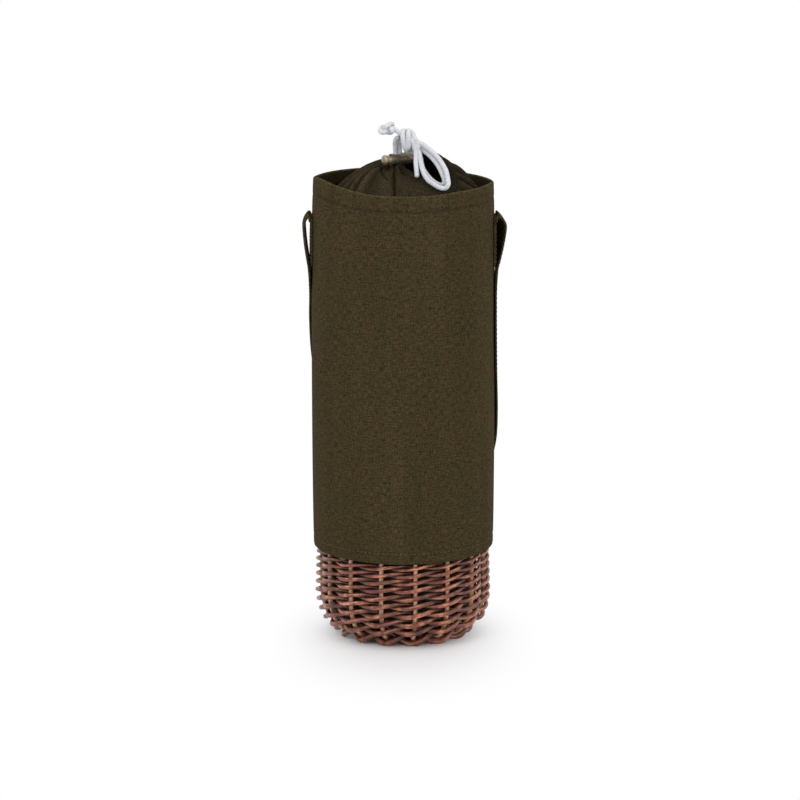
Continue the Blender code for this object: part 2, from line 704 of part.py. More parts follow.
# The drawcord's routes, in metres: from the hem through the lock, the loop, the free end and the tail
LEFT_STRAND_ROUTE = (
    (-0.0078, -0.0166, 0.3672),
    (-0.0062, -0.0162, 0.3690),
    (-0.0061, -0.0160, 0.3706),
    (-0.0061, -0.0160, 0.3734),
    (-0.0061, -0.0160, 0.3780),
    (-0.0061, -0.0160, 0.3820),
    (-0.0061, -0.0160, 0.3852),
    (-0.0063, -0.0164, 0.3878),
    (-0.0057, -0.0170, 0.3900),
    (-0.0046, -0.0176, 0.3916),
)
RIGHT_STRAND_ROUTE = (
    (-0.0017, -0.0178, 0.3667),
    (-0.0026, -0.0156, 0.3681),
    (-0.0027, -0.0140, 0.3708),
    (-0.0027, -0.0140, 0.3734),
    (-0.0027, -0.0140, 0.3780),
    (-0.0027, -0.0140, 0.3820),
    (-0.0027, -0.0140, 0.3852),
    (-0.0025, -0.0143, 0.3873),
    (-0.0023, -0.0145, 0.3885),
)
FRONT_LOOP_ROUTE = (
    (0.0130, -0.0249, 0.3888),
    (0.0166, -0.0260, 0.3868),
    (0.0206, -0.0280, 0.3839),
    (0.0257, -0.0335, 0.3798),
    (0.0295, -0.0400, 0.3755),
    (0.0324, -0.0470, 0.3709),
    (0.0342, -0.0515, 0.3658),
    (0.0348, -0.0540, 0.3620),
    (0.0326, -0.0545, 0.3589),
    (0.0284, -0.0550, 0.3594),
    (0.0234, -0.0515, 0.3615),
    (0.0187, -0.0475, 0.3643),
    (0.0156, -0.0425, 0.3685),
    (0.0139, -0.0370, 0.3734),
    (0.0131, -0.0319, 0.3776),
    (0.0124, -0.0286, 0.3808),
    (0.0113, -0.0268, 0.3840),
    (0.0103, -0.0261, 0.3866),
)
BACK_LOOP_ROUTE = (
    (0.0096, -0.0188, 0.3861),
    (0.0126, -0.0220, 0.3845),
    (0.0193, -0.0266, 0.3803),
    (0.0240, -0.0323, 0.3763),
    (0.0274, -0.0389, 0.3722),
    (0.0298, -0.0436, 0.3676),
    (0.0307, -0.0456, 0.3639),
    (0.0293, -0.0456, 0.3611),
    (0.0253, -0.0430, 0.3617),
    (0.0206, -0.0398, 0.3645),
    (0.0172, -0.0362, 0.3674),
    (0.0149, -0.0323, 0.3708),
    (0.0136, -0.0280, 0.3748),
    (0.0129, -0.0248, 0.3782),
    (0.0109, -0.0225, 0.3803),
    (0.0079, -0.0212, 0.3812),
)
FREE_END_ROUTE = (
    (0.0043, -0.0262, 0.3815),
    (0.0069, -0.0286, 0.3796),
    (0.0087, -0.0316, 0.3773),
    (0.0095, -0.0346, 0.3746),
    (0.0100, -0.0376, 0.3712),
    (0.0103, -0.0398, 0.3682),
    (0.0104, -0.0410, 0.3666),
)
TAIL_ROUTE = (
    (-0.0020, -0.0222, 0.3976),
    (-0.0032, -0.0208, 0.3997),
    (-0.0052, -0.0198, 0.4007),
)
STOPPER_PLACE = Vector((-0.0132, -0.0194, 0.4008))
KNOT_PLACE = Vector((0.0050, -0.0210, 0.3904))


def least_gap(points, radius, cyclic):
    """The least free distance between parts of one tube that aren't next to each other."""
    count = len(points)
    reach = 3 * radius
    best = None
    for i in range(count):
        travelled = 0.0
        for step in range(1, count // 2 if cyclic else count - i):
            j = (i + step) % count
            travelled += (points[j] - points[j - 1]).length
            if travelled > reach:
                gap = (points[i] - points[j]).length - 2 * radius
                best = gap if best is None else min(best, gap)
    return best


def knots(cord, collection):
    """The overhand knot that ties both strands, and the small stopper knot on the tail."""
    count = 33
    points = []
    for i in range(count):
        t = math.tau * i / count
        x = (math.sin(t) + 2 * math.sin(2 * t)) / 3 * KNOT_HALF_WIDTH
        z = (math.cos(t) - 2 * math.cos(2 * t)) / 3 * KNOT_HALF_HEIGHT
        y = -math.sin(3 * t) * KNOT_HALF_DEPTH
        points.append(KNOT_PLACE + Vector((x, y, z)))
    even_rod("main_knot", points, CORD_RADIUS, cord, collection, cyclic=True, resolution=2)
    print("main_knot least gap", round(least_gap(points, CORD_RADIUS, True), 5))

    lobe_shares = ((0.0, 0.0), (0.02, 0.45), (0.1, 0.85), (0.2, 1.0), (0.32, 0.85), (0.42, 0.0))
    half = STOPPER_LENGTH / 2
    small = [(share * STOPPER_LENGTH, STOPPER_SMALL_RADIUS * size) for share, size in lobe_shares[:-1]]
    large = [(share * STOPPER_LENGTH, STOPPER_LARGE_RADIUS * size) for share, size in lobe_shares[:-1]]
    line = [(half - x, radius) for x, radius in large]
    line += [(0, STOPPER_WAIST_RADIUS)]
    line += [(x - half, radius) for x, radius in reversed(small)]
    profile = [(radius, height) for height, radius in line]
    stopper = turned("stopper_knot", profile, False, LOCK_SEGMENTS // 2, cord, collection)
    stopper.location = STOPPER_PLACE
    stopper.rotation_euler = (0, math.pi / 2, 0)


def leave_hem(end, before, route):
    """A strand's route with the first two points in line with the cord's end in the hem."""
    along = (end - before).normalized()
    return [end + along * SEAT_GAP, end + along * CORD_RADIUS / 2, *route]


def drawcord(cord, collection):
    """The cord's stretches: round the mouth in the hem, up through the lock, the loops and the two ends."""
    uncovered = len(HEM_OPENING_SHARES)
    hem = [middle for _, middle, _ in mouth_stations()[uncovered:-uncovered]]
    even_rod("cord_in_hem", hem, CORD_RADIUS, cord, collection, resolution=1)
    left_start = leave_hem(hem[-1], hem[-2], LEFT_STRAND_ROUTE)
    right_start = leave_hem(hem[0], hem[1], RIGHT_STRAND_ROUTE)
    stretches = (
        ("cord_strand_left", left_start, 2),
        ("cord_strand_right", right_start, 2),
        ("cord_loop_front", smooth_route(FRONT_LOOP_ROUTE, 1), 1),
        ("cord_loop_back", smooth_route(BACK_LOOP_ROUTE, 1), 1),
        ("cord_free_end", FREE_END_ROUTE, 2),
        ("cord_tail", smooth_route(TAIL_ROUTE, 1), 2),
    )
    for name, route, resolution in stretches:
        even_rod(name, route, CORD_RADIUS, cord, collection, resolution=resolution)


def slot_half_length():
    """Half the length of the slot that holds both strands side by side."""
    return 2 * CORD_RADIUS + STRAND_GAP / 2 + SLOT_CLEARANCE


def lock_turned(name, profile, material, collection, closed=False):
    """A piece turned about the lock's own axis, given as (radius, x) down its outer side."""
    flipped = [(radius, -x) for radius, x in profile]
    item = turned(name, flipped, closed, LOCK_SEGMENTS, material, collection)
    item.location = LOCK_PLACE
    item.rotation_euler = (0, -math.pi / 2, LOCK_YAW)
    item.rotation_mode = "XYZ"
    return item


def lock_slot(name, start, end, cutters):
    """An upright slot through the lock, with its ends rounded like the cords."""
    width = 2 * (CORD_RADIUS + SLOT_CLEARANCE)
    height = 2 * (BUTTON_RADIUS + BARREL_RADIUS)
    cutter = block_cutter(name, (end - start, width, height), ((start + end) / 2, 0, 0), cutters)
    cutter.location = LOCK_PLACE
    cutter.rotation_euler = (0, 0, LOCK_YAW)
    return cutter


def cord_lock(plastic, steel, collection, cutters):
    """The barrel with its bore, the plunger with its button, and the coil spring behind it."""
    bore = PLUNGER_RADIUS + PLUNGER_CLEARANCE
    bore_end = BARREL_END_X - BARREL_END_WALL
    waist = BARREL_RADIUS - BARREL_GROOVE_DEPTH
    groove = slot_half_length() + BARREL_EDGE
    barrel = [
        (0, bore_end),
        (bore, bore_end),
        (bore, BARREL_MOUTH_X + BARREL_EDGE / 2),
        (bore + PLUNGER_CLEARANCE, BARREL_MOUTH_X),
        (BARREL_RADIUS - BARREL_EDGE / 2, BARREL_MOUTH_X),
        (BARREL_RADIUS, BARREL_MOUTH_X + BARREL_EDGE / 2),
        (BARREL_RADIUS, groove),
        (waist, groove + BARREL_GROOVE_WIDTH / 2),
        (BARREL_RADIUS, groove + BARREL_GROOVE_WIDTH),
        (BARREL_RADIUS, BARREL_END_X - BARREL_EDGE),
        (BARREL_RADIUS - BARREL_EDGE, BARREL_END_X),
        (0, BARREL_END_X),
    ]
    half = slot_half_length()
    shell = lock_turned("lock_barrel", list(reversed(barrel)), plastic, collection)
    cut(shell, lock_slot("barrel_slot", -half, half, cutters))

    button_mid = (BUTTON_TIP_X + BUTTON_NECK_X) / 2
    plunger = [
        (0, PLUNGER_END_X),
        (PLUNGER_RADIUS - BARREL_EDGE / 3, PLUNGER_END_X),
        (PLUNGER_RADIUS, PLUNGER_END_X - BARREL_EDGE / 3),
        (PLUNGER_RADIUS, BUTTON_NECK_X),
        (mix(PLUNGER_RADIUS, BUTTON_RADIUS, 0.8), mix(BUTTON_NECK_X, button_mid, 0.5)),
        (BUTTON_RADIUS, button_mid),
        (mix(0, BUTTON_RADIUS, 0.85), mix(button_mid, BUTTON_TIP_X, 0.6)),
        (mix(0, BUTTON_RADIUS, 0.5), mix(button_mid, BUTTON_TIP_X, 0.92)),
        (0, BUTTON_TIP_X),
    ]
    slider = lock_turned("lock_plunger", plunger, plastic, collection)
    cut(slider, lock_slot("plunger_slot", -half - PLUNGER_TRAVEL, half, cutters))

    start = PLUNGER_END_X + SPRING_WIRE_RADIUS + SEAT_GAP
    end = bore_end - SPRING_WIRE_RADIUS - SEAT_GAP
    per_coil = 8
    coil = []
    for i in range(SPRING_COILS * per_coil + 1):
        turn = math.tau * i / per_coil
        x = mix(start, end, i / (SPRING_COILS * per_coil))
        coil.append((x, SPRING_RADIUS * math.cos(turn), SPRING_RADIUS * math.sin(turn)))
    spring = even_rod("lock_spring", coil, SPRING_WIRE_RADIUS, steel, collection)
    spring.location = LOCK_PLACE
    spring.rotation_euler = (0, 0, LOCK_YAW)


def sewn_ends(canvas, collection):
    """The two ends of the strap that are sewn flat against the sleeve."""
    half_width = STRAP_WIDTH / 2
    for name, side in (("strap_end_right", 1), ("strap_end_left", -1)):
        rows = []
        for height in (SEWN_END_BOTTOM, (SEWN_END_BOTTOM + SEWN_END_TOP) / 2, SEWN_END_TOP):
            radius = canvas_radius(height) + SEAT_GAP + STRAP_THICKNESS / 2
            row = []
            for i in range(SEWN_END_COLUMNS + 1):
                turn = mix(-half_width, half_width, i / SEWN_END_COLUMNS) / radius
                row.append(Vector((side * radius * math.cos(turn), radius * math.sin(turn), height)))
            rows.append(row)
        cloth(name, rows, STRAP_THICKNESS, canvas, collection)


def strap_side():
    """The leg beside a sewn end, from the fold's inner edge down: (distance from the axis, height)."""
    seat = canvas_radius(SEWN_END_TOP) + SEAT_GAP + STRAP_THICKNESS
    inner = seat + SEAT_GAP + STRAP_THICKNESS / 2
    fold = inner + STRAP_FOLD_RADIUS
    centre = STRAP_FOLD_HEIGHT - STRAP_THICKNESS / 2 - STRAP_FOLD_RADIUS
    points = [(inner, SEWN_END_TOP - 2 * STRAP_FOLD_RADIUS), (inner, centre - STRAP_FOLD_RADIUS)]
    for step in range(7):
        turn = math.pi * (1 - step / 6)
        reach = fold + STRAP_FOLD_RADIUS * math.cos(turn)
        points.append((reach, centre + STRAP_FOLD_RADIUS * math.sin(turn)))
    outer = fold + STRAP_FOLD_RADIUS
    bulge_shares = ((1.12, 0.25), (1.08, 0.5), (0.68, 0.78), (0.22, 1.0))
    drop = STRAP_FOLD_HEIGHT - SEWN_END_BOTTOM + 2 * STRAP_THICKNESS
    for reach, fall in bulge_shares:
        points.append((mix(inner, outer, reach), STRAP_FOLD_HEIGHT - drop * fall))
    return points, inner


# The strap behind the body: angle from the right side towards the back, the share of its hang, and
# the share of the sewn end's thickness that it stands off the sleeve
STRAP_SHARES = (
    (0, 0.30, 0.15),
    (0, 0.42, 0.15),
    (3, 0.55, 0.15),
    (9, 0.68, 0.2),
    (20, 0.80, 0.6),
    (36, 0.91, 1.0),
    (56, 0.98, 1.0),
    (78, 1.0, 1.0),
    (100, 0.955, 1.0),
    (120, 0.86, 1.0),
    (136, 0.74, 1.0),
    (148, 0.61, 0.9),
    (157, 0.49, 0.6),
    (164, 0.385, 0.3),
    (171, 0.29, 0.15),
)


def carry_strap(canvas, collection):
    """The strap, folded over outside both sewn ends and hanging in a loop behind the body."""
    side, beside = strap_side()
    route = [Vector((reach, 0, height)) for reach, height in side]
    for degrees, share, clear in STRAP_SHARES:
        turn = math.radians(degrees)
        height = STRAP_FOLD_HEIGHT - STRAP_HANG * share
        hug = mix(canvas_radius(height) + SEAT_GAP + STRAP_THICKNESS / 2, beside, clear)
        route.append(Vector((hug * math.cos(turn), hug * math.sin(turn), height)))
    route += [Vector((-reach, 0, height)) for reach, height in reversed(side)]
    line = smooth_route(route, 2)
    edges = [[], []]
    for i, spot in enumerate(line):
        along = line[min(i + 1, len(line) - 1)] - line[max(i - 1, 0)]
        radial = Vector((spot.x, spot.y, 0)).normalized()
        across = along.cross(radial)
        if spot.z > SEWN_END_BOTTOM - STRAP_WIDTH / 4:
            across = Vector((0, -1, 0))
        across.normalize()
        edges[0].append(spot - across * STRAP_WIDTH / 2)
        edges[1].append(spot + across * STRAP_WIDTH / 2)
    strap = cloth("carry_strap", edges, STRAP_THICKNESS, canvas, collection)
    pivot = Vector((0, 0, STRAP_PIVOT_HEIGHT))
    for corner in strap.data.vertices:
        corner.co -= pivot
    strap.location = pivot


def main():
    clear_scene()
    basket = new_collection("wine_bottle_basket")
    cutters = new_collection("cutters")
    willow = finish("stained_willow", (0.16, 0.055, 0.03), 0.45)
    canvas = finish("olive_canvas", (0.052, 0.038, 0.018), 0.9)
    foam = finish("foam", (0.6, 0.6, 0.58), 0.9)
    lining = finish("lining_cloth", (0.03, 0.028, 0.018), 0.8)
    board = finish("grey_board", (0.35, 0.33, 0.3), 0.9)
    cord = finish("white_cord", (0.75, 0.76, 0.8), 0.8)
    plastic = finish("bronze_plastic", (0.17, 0.13, 0.08), 0.35)
    steel = finish("spring_steel", (0.6, 0.6, 0.6), 0.3, 1.0)

    span = 2 * STAKE_CIRCLE_RADIUS
    depth = FOOT_ROD_RADIUS + OVERRUN
    floor = block_cutter("floor_plane", (span, span, depth), (0, 0, -depth / 2), cutters)
    base_sticks(willow, basket, floor)
    base_weavers(willow, basket)
    stakes(willow, basket)
    foot_wale(willow, basket, floor)
    side_weavers(willow, basket)
    top_border(willow, basket)
    insulation(foam, basket)
    lining_and_board(lining, board, basket)
    canvas_sleeve(canvas, basket)
    collar(canvas, basket)
    drawcord(cord, basket)
    knots(cord, basket)
    cord_lock(plastic, steel, basket, cutters)
    sewn_ends(canvas, basket)
    carry_strap(canvas, basket)


main()
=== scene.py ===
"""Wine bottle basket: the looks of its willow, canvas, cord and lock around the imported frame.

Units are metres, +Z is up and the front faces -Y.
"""

import logging
import math
from collections.abc import Callable
from dataclasses import dataclass
from enum import Enum

import bpy
import numpy as np
from mathutils import Matrix, Vector, noise


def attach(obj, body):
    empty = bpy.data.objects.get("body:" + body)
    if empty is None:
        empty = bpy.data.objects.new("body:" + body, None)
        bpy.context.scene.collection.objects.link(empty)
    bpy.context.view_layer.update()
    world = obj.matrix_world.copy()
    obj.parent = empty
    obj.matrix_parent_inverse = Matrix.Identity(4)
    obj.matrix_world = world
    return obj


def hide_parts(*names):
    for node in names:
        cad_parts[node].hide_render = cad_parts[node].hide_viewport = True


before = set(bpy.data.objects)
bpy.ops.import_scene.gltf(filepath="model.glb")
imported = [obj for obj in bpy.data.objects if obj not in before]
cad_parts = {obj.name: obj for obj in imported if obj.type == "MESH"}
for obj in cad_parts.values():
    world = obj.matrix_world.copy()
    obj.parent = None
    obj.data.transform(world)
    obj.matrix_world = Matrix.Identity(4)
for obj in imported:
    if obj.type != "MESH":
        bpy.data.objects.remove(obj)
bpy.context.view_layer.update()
LOG = logging.getLogger("wine_bottle_basket")
UP = Vector((0, 0, 1))
DOME = ((0.35, 0.93), (0.62, 0.75), (0.8, 0.45))  # a tube's end: shares of its radius along and across it
DOME_STEP = 0.3
DOME_TIP = 0.12
MERGE = 0.00001


class Body(Enum):
    """The CAD bodies that pieces ride on."""

    BASKET = "basket"
    STRAP = "strap"
    LOCK = "cord_lock"
    BUTTON = "lock_button"


class Slot(Enum):
    """The record's material slots, which no piece here takes."""

    WILLOW = "willow"
    CANVAS = "canvas"
    LINING = "lining"
    CORD = "cord"
    LOCK = "lock"
    PADDING = "padding"


# ---------------------------------------------------------------------------
# Lines and meshes
# ---------------------------------------------------------------------------


def mix(start: float, end: float, share: float) -> float:
    """The value at a share of the way from start to end."""
    return start + (end - start) * share


def around(radius: float, angle: float, height: float) -> Vector:
    """The point at an angle from the front, turning towards +X."""
    return Vector((radius * math.sin(angle), -radius * math.cos(angle), height))


def wobble(*place: float) -> float:
    """Smooth noise from -1 to 1 that is the same in every run."""
    padded = list(place) + [0.0] * (3 - len(place))
    return noise.noise(Vector(padded[:3]))


def clamp(value: float) -> float:
    """The value, held between 0 and 1."""
    return min(1.0, max(0.0, value))


def bump(away: float, width: float) -> float:
    """A smooth hump: 1 where nothing is away, and almost 0 from two widths on."""
    return math.exp(-((away / width) ** 2))


def ring_noise(angle: float, scale: float, height: float) -> float:
    """Smooth noise that closes on itself round the basket."""
    return wobble(math.cos(angle) * scale, math.sin(angle) * scale, height)


def full_turn(count: int) -> list[float]:
    """Even angles all the way round."""
    return [math.tau * k / count for k in range(count)]


def read_table(table: tuple, place: float, column: int = 1) -> float:
    """A column of a table, read between its rows at a place in the first column."""
    return float(np.interp(place, [row[0] for row in table], [row[column] for row in table]))


def lengths_along(points: list[Vector]) -> list[float]:
    """The length of a line up to each of its points."""
    lengths = [0.0]
    for a, b in zip(points, points[1:]):
        lengths.append(lengths[-1] + (b - a).length)
    return lengths


def smooth_line(route: list, steps: int) -> list[Vector]:
    """Points on a smooth curve through a route's own points.

    Args:
        route: The points that the curve passes through.
        steps: New points in each stretch.

    Returns:
        The route's points with the new ones between them.
    """
    points = [Vector(p) for p in route]
    before = [points[0] * 2 - points[1]] + points[:-1]
    after = points[1:] + [points[-1] * 2 - points[-2]]
    pull = [(b - a) / 6 for a, b in zip(before, after)]
    line = [points[0]]
    for i in range(len(points) - 1):
        a, b = points[i], points[i + 1]
        c, d = a + pull[i], b - pull[i + 1]
        for step in range(1, steps + 1):
            t = step / steps
            s = 1 - t
            line.append(a * s**3 + c * (3 * s * s * t) + d * (3 * s * t * t) + b * t**3)
    return line


def even_line(points: list[Vector], spacing: float) -> list[Vector]:
    """The same line with its points about one spacing apart."""
    lengths = lengths_along(points)
    count = max(2, round(lengths[-1] / spacing))
    xs = np.linspace(0, lengths[-1], count + 1)
    table = np.array([p[:] for p in points])
    columns = [np.interp(xs, lengths, table[:, axis]) for axis in range(3)]
    return [Vector(p) for p in zip(*columns)]


def new_object(name: str, verts: list, faces: list, uvs: list | None = None) -> bpy.types.Object:
    """A mesh object at the origin, with smooth faces and a UV map where one is given.

    Args:
        name: The piece's name.
        verts: Corner positions in metres.
        faces: Corner numbers of each face.
        uvs: For each face, the UV of each of its corners.

    Returns:
        The new object.
    """
    mesh = bpy.data.meshes.new(name)
    mesh.from_pydata([tuple(v) for v in verts], [], faces)
    if uvs is not None:
        layer = mesh.uv_layers.new(name="UVMap")
        flat = np.array([value for face in uvs for corner in face for value in corner], np.float32)
        layer.data.foreach_set("uv", flat)
    mesh.shade_smooth()
    item = bpy.data.objects.new(name, mesh)
    bpy.context.scene.collection.objects.link(item)
    return item


def tube(name: str, points: list[Vector], radii: list[float], sides: int = 12, closed: bool = False,
         round_ends: bool = True) -> bpy.types.Object:
    """A round rod or cord swept along its points, with UVs round (0 to 1) and along it (metres).

    Args:
        name: The piece's name.
        points: The centres of its rings.
        radii: The radius of each ring.
        sides: Corners in each ring.
        closed: Whether its end joins its start.
        round_ends: Whether its ends are domed and not cut flat.

    Returns:
        The new object.
    """
    points = [p.copy() for p in points]
    radii = list(radii)
    count = len(points)
    tangents = []
    for i in range(count):
        after = points[(i + 1) % count] if closed or i + 1 < count else points[i]
        before = points[i - 1] if closed or i > 0 else points[i]
        tangents.append((after - before).normalized())
    side = tangents[0].orthogonal().normalized()
    sides_at = []
    for i, along in enumerate(tangents):
        if i:
            side = tangents[i - 1].rotation_difference(along) @ side
            side = (side - along * side.dot(along)).normalized()
        sides_at.append(side.copy())
    turn_back = 0.0
    if closed:
        last = tangents[-1].rotation_difference(tangents[0]) @ sides_at[-1]
        first = sides_at[0]
        turn_back = math.atan2(last.cross(first).dot(tangents[0]), last.dot(first))
    lengths = lengths_along(points)
    if not closed and round_ends:
        for end, sign in ((0, -1), (count - 1, 1)):
            radius, along, start = radii[end], tangents[end], points[end].copy()
            for reach, size in DOME:
                place, last = (0, 0) if sign < 0 else (len(points), -1)
                for values, value in (
                    (points, start + along * sign * radius * reach),
                    (radii, radius * size),
                    (tangents, along),
                    (sides_at, sides_at[last]),
                    (lengths, lengths[last] + sign * radius * DOME_STEP),
                ):
                    values.insert(place, value)
            count = len(points)
    verts, faces, uvs = [], [], []
    for i, (centre, along, across, radius) in enumerate(zip(points, tangents, sides_at, radii)):
        spin = turn_back * i / count
        other = along.cross(across)
        for k in range(sides):
            angle = math.tau * k / sides + spin
            verts.append(centre + (across * math.cos(angle) + other * math.sin(angle)) * radius)
    rings = count if closed else count - 1
    for i in range(rings):
        j = (i + 1) % count
        v0, v1 = lengths[i], lengths[j] if j else lengths[i] + (points[0] - points[i]).length
        for k in range(sides):
            n = (k + 1) % sides
            faces.append((i * sides + k, i * sides + n, j * sides + n, j * sides + k))
            u0, u1 = k / sides, (k + 1) / sides
            uvs.append(((u0, v0), (u1, v0), (u1, v1), (u0, v1)))
    if not closed:
        for ring, flip in ((0, True), (count - 1, False)):
            centre = len(verts)
            sign = -1 if flip else 1
            dome = DOME_TIP * radii[ring] if round_ends else 0
            verts.append(points[ring] + tangents[ring] * sign * dome)
            for k in range(sides):
                n = (k + 1) % sides
                pair = (ring * sides + n, ring * sides + k) if flip else (ring * sides + k, ring * sides + n)
                faces.append((*pair, centre))
                v = lengths[ring]
                uvs.append(((k / sides, v), ((k + 1) / sides, v), ((k + 0.5) / sides, v)))
    return new_object(name, verts, faces, uvs)


def sheet_mesh(name: str, rows: list[list[Vector]], us: list[float], vs: list[float],
               closed: bool = False) -> bpy.types.Object:
    """A one-layer sheet through rows of points.

    Args:
        name: The piece's name.
        rows: The rows of points, from the sheet's start to its end.
        us: The UV value of each column, one more than the columns where closed.
        vs: The UV value of each row.
        closed: Whether the last column joins the first.

    Returns:
        The new object.
    """
    width = len(rows[0])
    verts = [p for row in rows for p in row]
    faces, uvs = [], []
    for i in range(len(rows) - 1):
        for k in range(width if closed else width - 1):
            n = (k + 1) % width
            faces.append((i * width + k, i * width + n, (i + 1) * width + n, (i + 1) * width + k))
            uvs.append(((us[k], vs[i]), (us[k + 1], vs[i]), (us[k + 1], vs[i + 1]), (us[k], vs[i + 1])))
    return new_object(name, verts, faces, uvs)


def choose(item: bpy.types.Object) -> None:
    """Select one object alone and make it the active one."""
    bpy.ops.object.select_all(action="DESELECT")
    item.select_set(True)
    bpy.context.view_layer.objects.active = item


def apply_modifiers(item: bpy.types.Object) -> None:
    """Apply every modifier of a piece, in order."""
    choose(item)
    for modifier in list(item.modifiers):
        bpy.ops.object.modifier_apply(modifier=modifier.name)


def thicken(item: bpy.types.Object, thickness: float) -> None:
    """Give a one-layer sheet its thickness, half of it to each side."""
    solidify = item.modifiers.new("Thickness", "SOLIDIFY")
    solidify.thickness = thickness
    solidify.offset = 0.0
    solidify.use_even_offset = False
    apply_modifiers(item)


def settle(item: bpy.types.Object) -> None:
    """Move a piece's place, turn and scale into its mesh."""
    choose(item)
    bpy.ops.object.transform_apply(location=True, rotation=True, scale=True)


def merge_doubles(item: bpy.types.Object, outwards: bool = False) -> None:
    """Merge doubled corners, and point the faces of a closed piece outwards where asked."""
    choose(item)
    bpy.ops.object.mode_set(mode="EDIT")
    bpy.ops.mesh.select_all(action="SELECT")
    bpy.ops.mesh.remove_doubles(threshold=MERGE)
    if outwards:
        bpy.ops.mesh.normals_make_consistent(inside=False)
    bpy.ops.object.mode_set(mode="OBJECT")


def keep_values(item: bpy.types.Object, name: str, values: list[float]) -> None:
    """Keep one value for each corner of a piece's mesh, for its material to read."""
    layer = item.data.attributes.new(name, "FLOAT", "POINT")
    layer.data.foreach_set("value", np.array(values, np.float32))


def dress(item: bpy.types.Object, material: bpy.types.Material, body: Body,
          nodes: tuple = ()) -> bpy.types.Object:
    """Give a finished piece its material, its body and the CAD nodes that it stands for.

    Args:
        item: The finished piece.
        material: Its only material.
        body: The body that it rides on.
        nodes: Names of the CAD nodes that it replaces.

    Returns:
        The same piece.
    """
    item.data.materials.clear()
    item.data.materials.append(material)
    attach(item, body.value)
    if nodes:
        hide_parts(*nodes)
    triangles = sum(len(face.vertices) - 2 for face in item.data.polygons)
    LOG.info("%s: %d triangles, rides on %s", item.name, triangles, body.value)
    return item


# ---------------------------------------------------------------------------
# Finishes
# ---------------------------------------------------------------------------


class NodeBoard:
    """A new material's nodes, with short calls that add and join them."""

    def __init__(self, name: str) -> None:
        """Start a material that holds only its shader and its output."""
        self.material = bpy.data.materials.new(name)
        self.material.use_nodes = True
        self.tree = self.material.node_tree
        self.shader = self.tree.nodes["Principled BSDF"]
        self.coordinates = self.tree.nodes.new("ShaderNodeTexCoord")

    def put(self, value: object, socket: bpy.types.NodeSocket) -> None:
        """Join an output to an input, or set the input's own value."""
        if isinstance(value, bpy.types.NodeSocket):
            self.tree.links.new(value, socket)
        elif value is not None:
            socket.default_value = value

    def stretched(self, scale: tuple, source: str = "UV", shift: tuple = (0, 0, 0)) -> bpy.types.NodeSocket:
        """The coordinates of a source, scaled along each axis and then shifted."""
        mapping = self.tree.nodes.new("ShaderNodeMapping")
        mapping.inputs["Scale"].default_value = scale
        mapping.inputs["Location"].default_value = shift
        self.tree.links.new(self.coordinates.outputs[source], mapping.inputs["Vector"])
        return mapping.outputs["Vector"]

    def cloud(self, scale: tuple, detail: float, rough: float = 0.55,
              source: str = "UV") -> bpy.types.NodeSocket:
        """Noise from 0 to 1 on the coordinates of a source, scaled along each axis."""
        node = self.tree.nodes.new("ShaderNodeTexNoise")
        for name, value in (("Scale", 1.0), ("Detail", detail), ("Roughness", rough)):
            node.inputs[name].default_value = value
        self.tree.links.new(self.stretched(scale, source), node.inputs["Vector"])
        return node.outputs["Fac"]

    def sums(self, operation: str, first: object, second: object = None) -> bpy.types.NodeSocket:
        """The result of one sum on sockets or numbers."""
        node = self.tree.nodes.new("ShaderNodeMath")
        node.operation = operation
        self.put(first, node.inputs[0])
        self.put(second, node.inputs[1])
        return node.outputs[0]

    def split(self, vector: bpy.types.NodeSocket) -> list[bpy.types.NodeSocket]:
        """A vector's three values."""
        node = self.tree.nodes.new("ShaderNodeSeparateXYZ")
        self.tree.links.new(vector, node.inputs[0])
        return [node.outputs[0], node.outputs[1], node.outputs[2]]

    def attribute(self, name: str) -> bpy.types.NodeSocket:
        """A value that a piece's mesh keeps at its corners."""
        node = self.tree.nodes.new("ShaderNodeAttribute")
        node.attribute_name = name
        return node.outputs["Fac"]

    def ramp(self, share: bpy.types.NodeSocket, stops: tuple) -> bpy.types.NodeSocket:
        """A colour that changes over a share, from (place, colour) stops."""
        node = self.tree.nodes.new("ShaderNodeValToRGB")
        while len(node.color_ramp.elements) < len(stops):
            node.color_ramp.elements.new(0.5)
        for element, (place, colour) in zip(node.color_ramp.elements, stops):
            element.position = place
            element.color = (*colour, 1.0)
        self.tree.links.new(share, node.inputs[0])
        return node.outputs["Color"]

    def tinted(self, colour: bpy.types.NodeSocket, share: bpy.types.NodeSocket,
               stops: tuple) -> bpy.types.NodeSocket:
        """A colour multiplied by another that changes over a share."""
        node = self.tree.nodes.new("ShaderNodeMix")
        node.data_type = "RGBA"
        node.blend_type = "MULTIPLY"
        node.inputs[0].default_value = 1.0
        self.tree.links.new(colour, node.inputs[6])
        self.tree.links.new(self.ramp(share, stops), node.inputs[7])
        return node.outputs[2]

    def relief(self, height: bpy.types.NodeSocket, depth: float, strength: float,
               under: bpy.types.NodeSocket | None = None) -> bpy.types.NodeSocket:
        """A bump of a depth in metres."""
        node = self.tree.nodes.new("ShaderNodeBump")
        node.inputs["Strength"].default_value = strength
        node.inputs["Distance"].default_value = depth
        self.tree.links.new(height, node.inputs["Height"])
        if under:
            self.tree.links.new(under, node.inputs["Normal"])
        return node.outputs["Normal"]

    def finish(self, colour: bpy.types.NodeSocket, roughness: object, normal: object = None,
               **constants: float) -> bpy.types.Material:
        """Join the shader's inputs and return the material."""
        for name, value in (("Base Color", colour), ("Roughness", roughness), ("Normal", normal)):
            self.put(value, self.shader.inputs[name])
        for name, value in constants.items():
            self.shader.inputs[name.replace("_", " ")].default_value = value
        return self.material


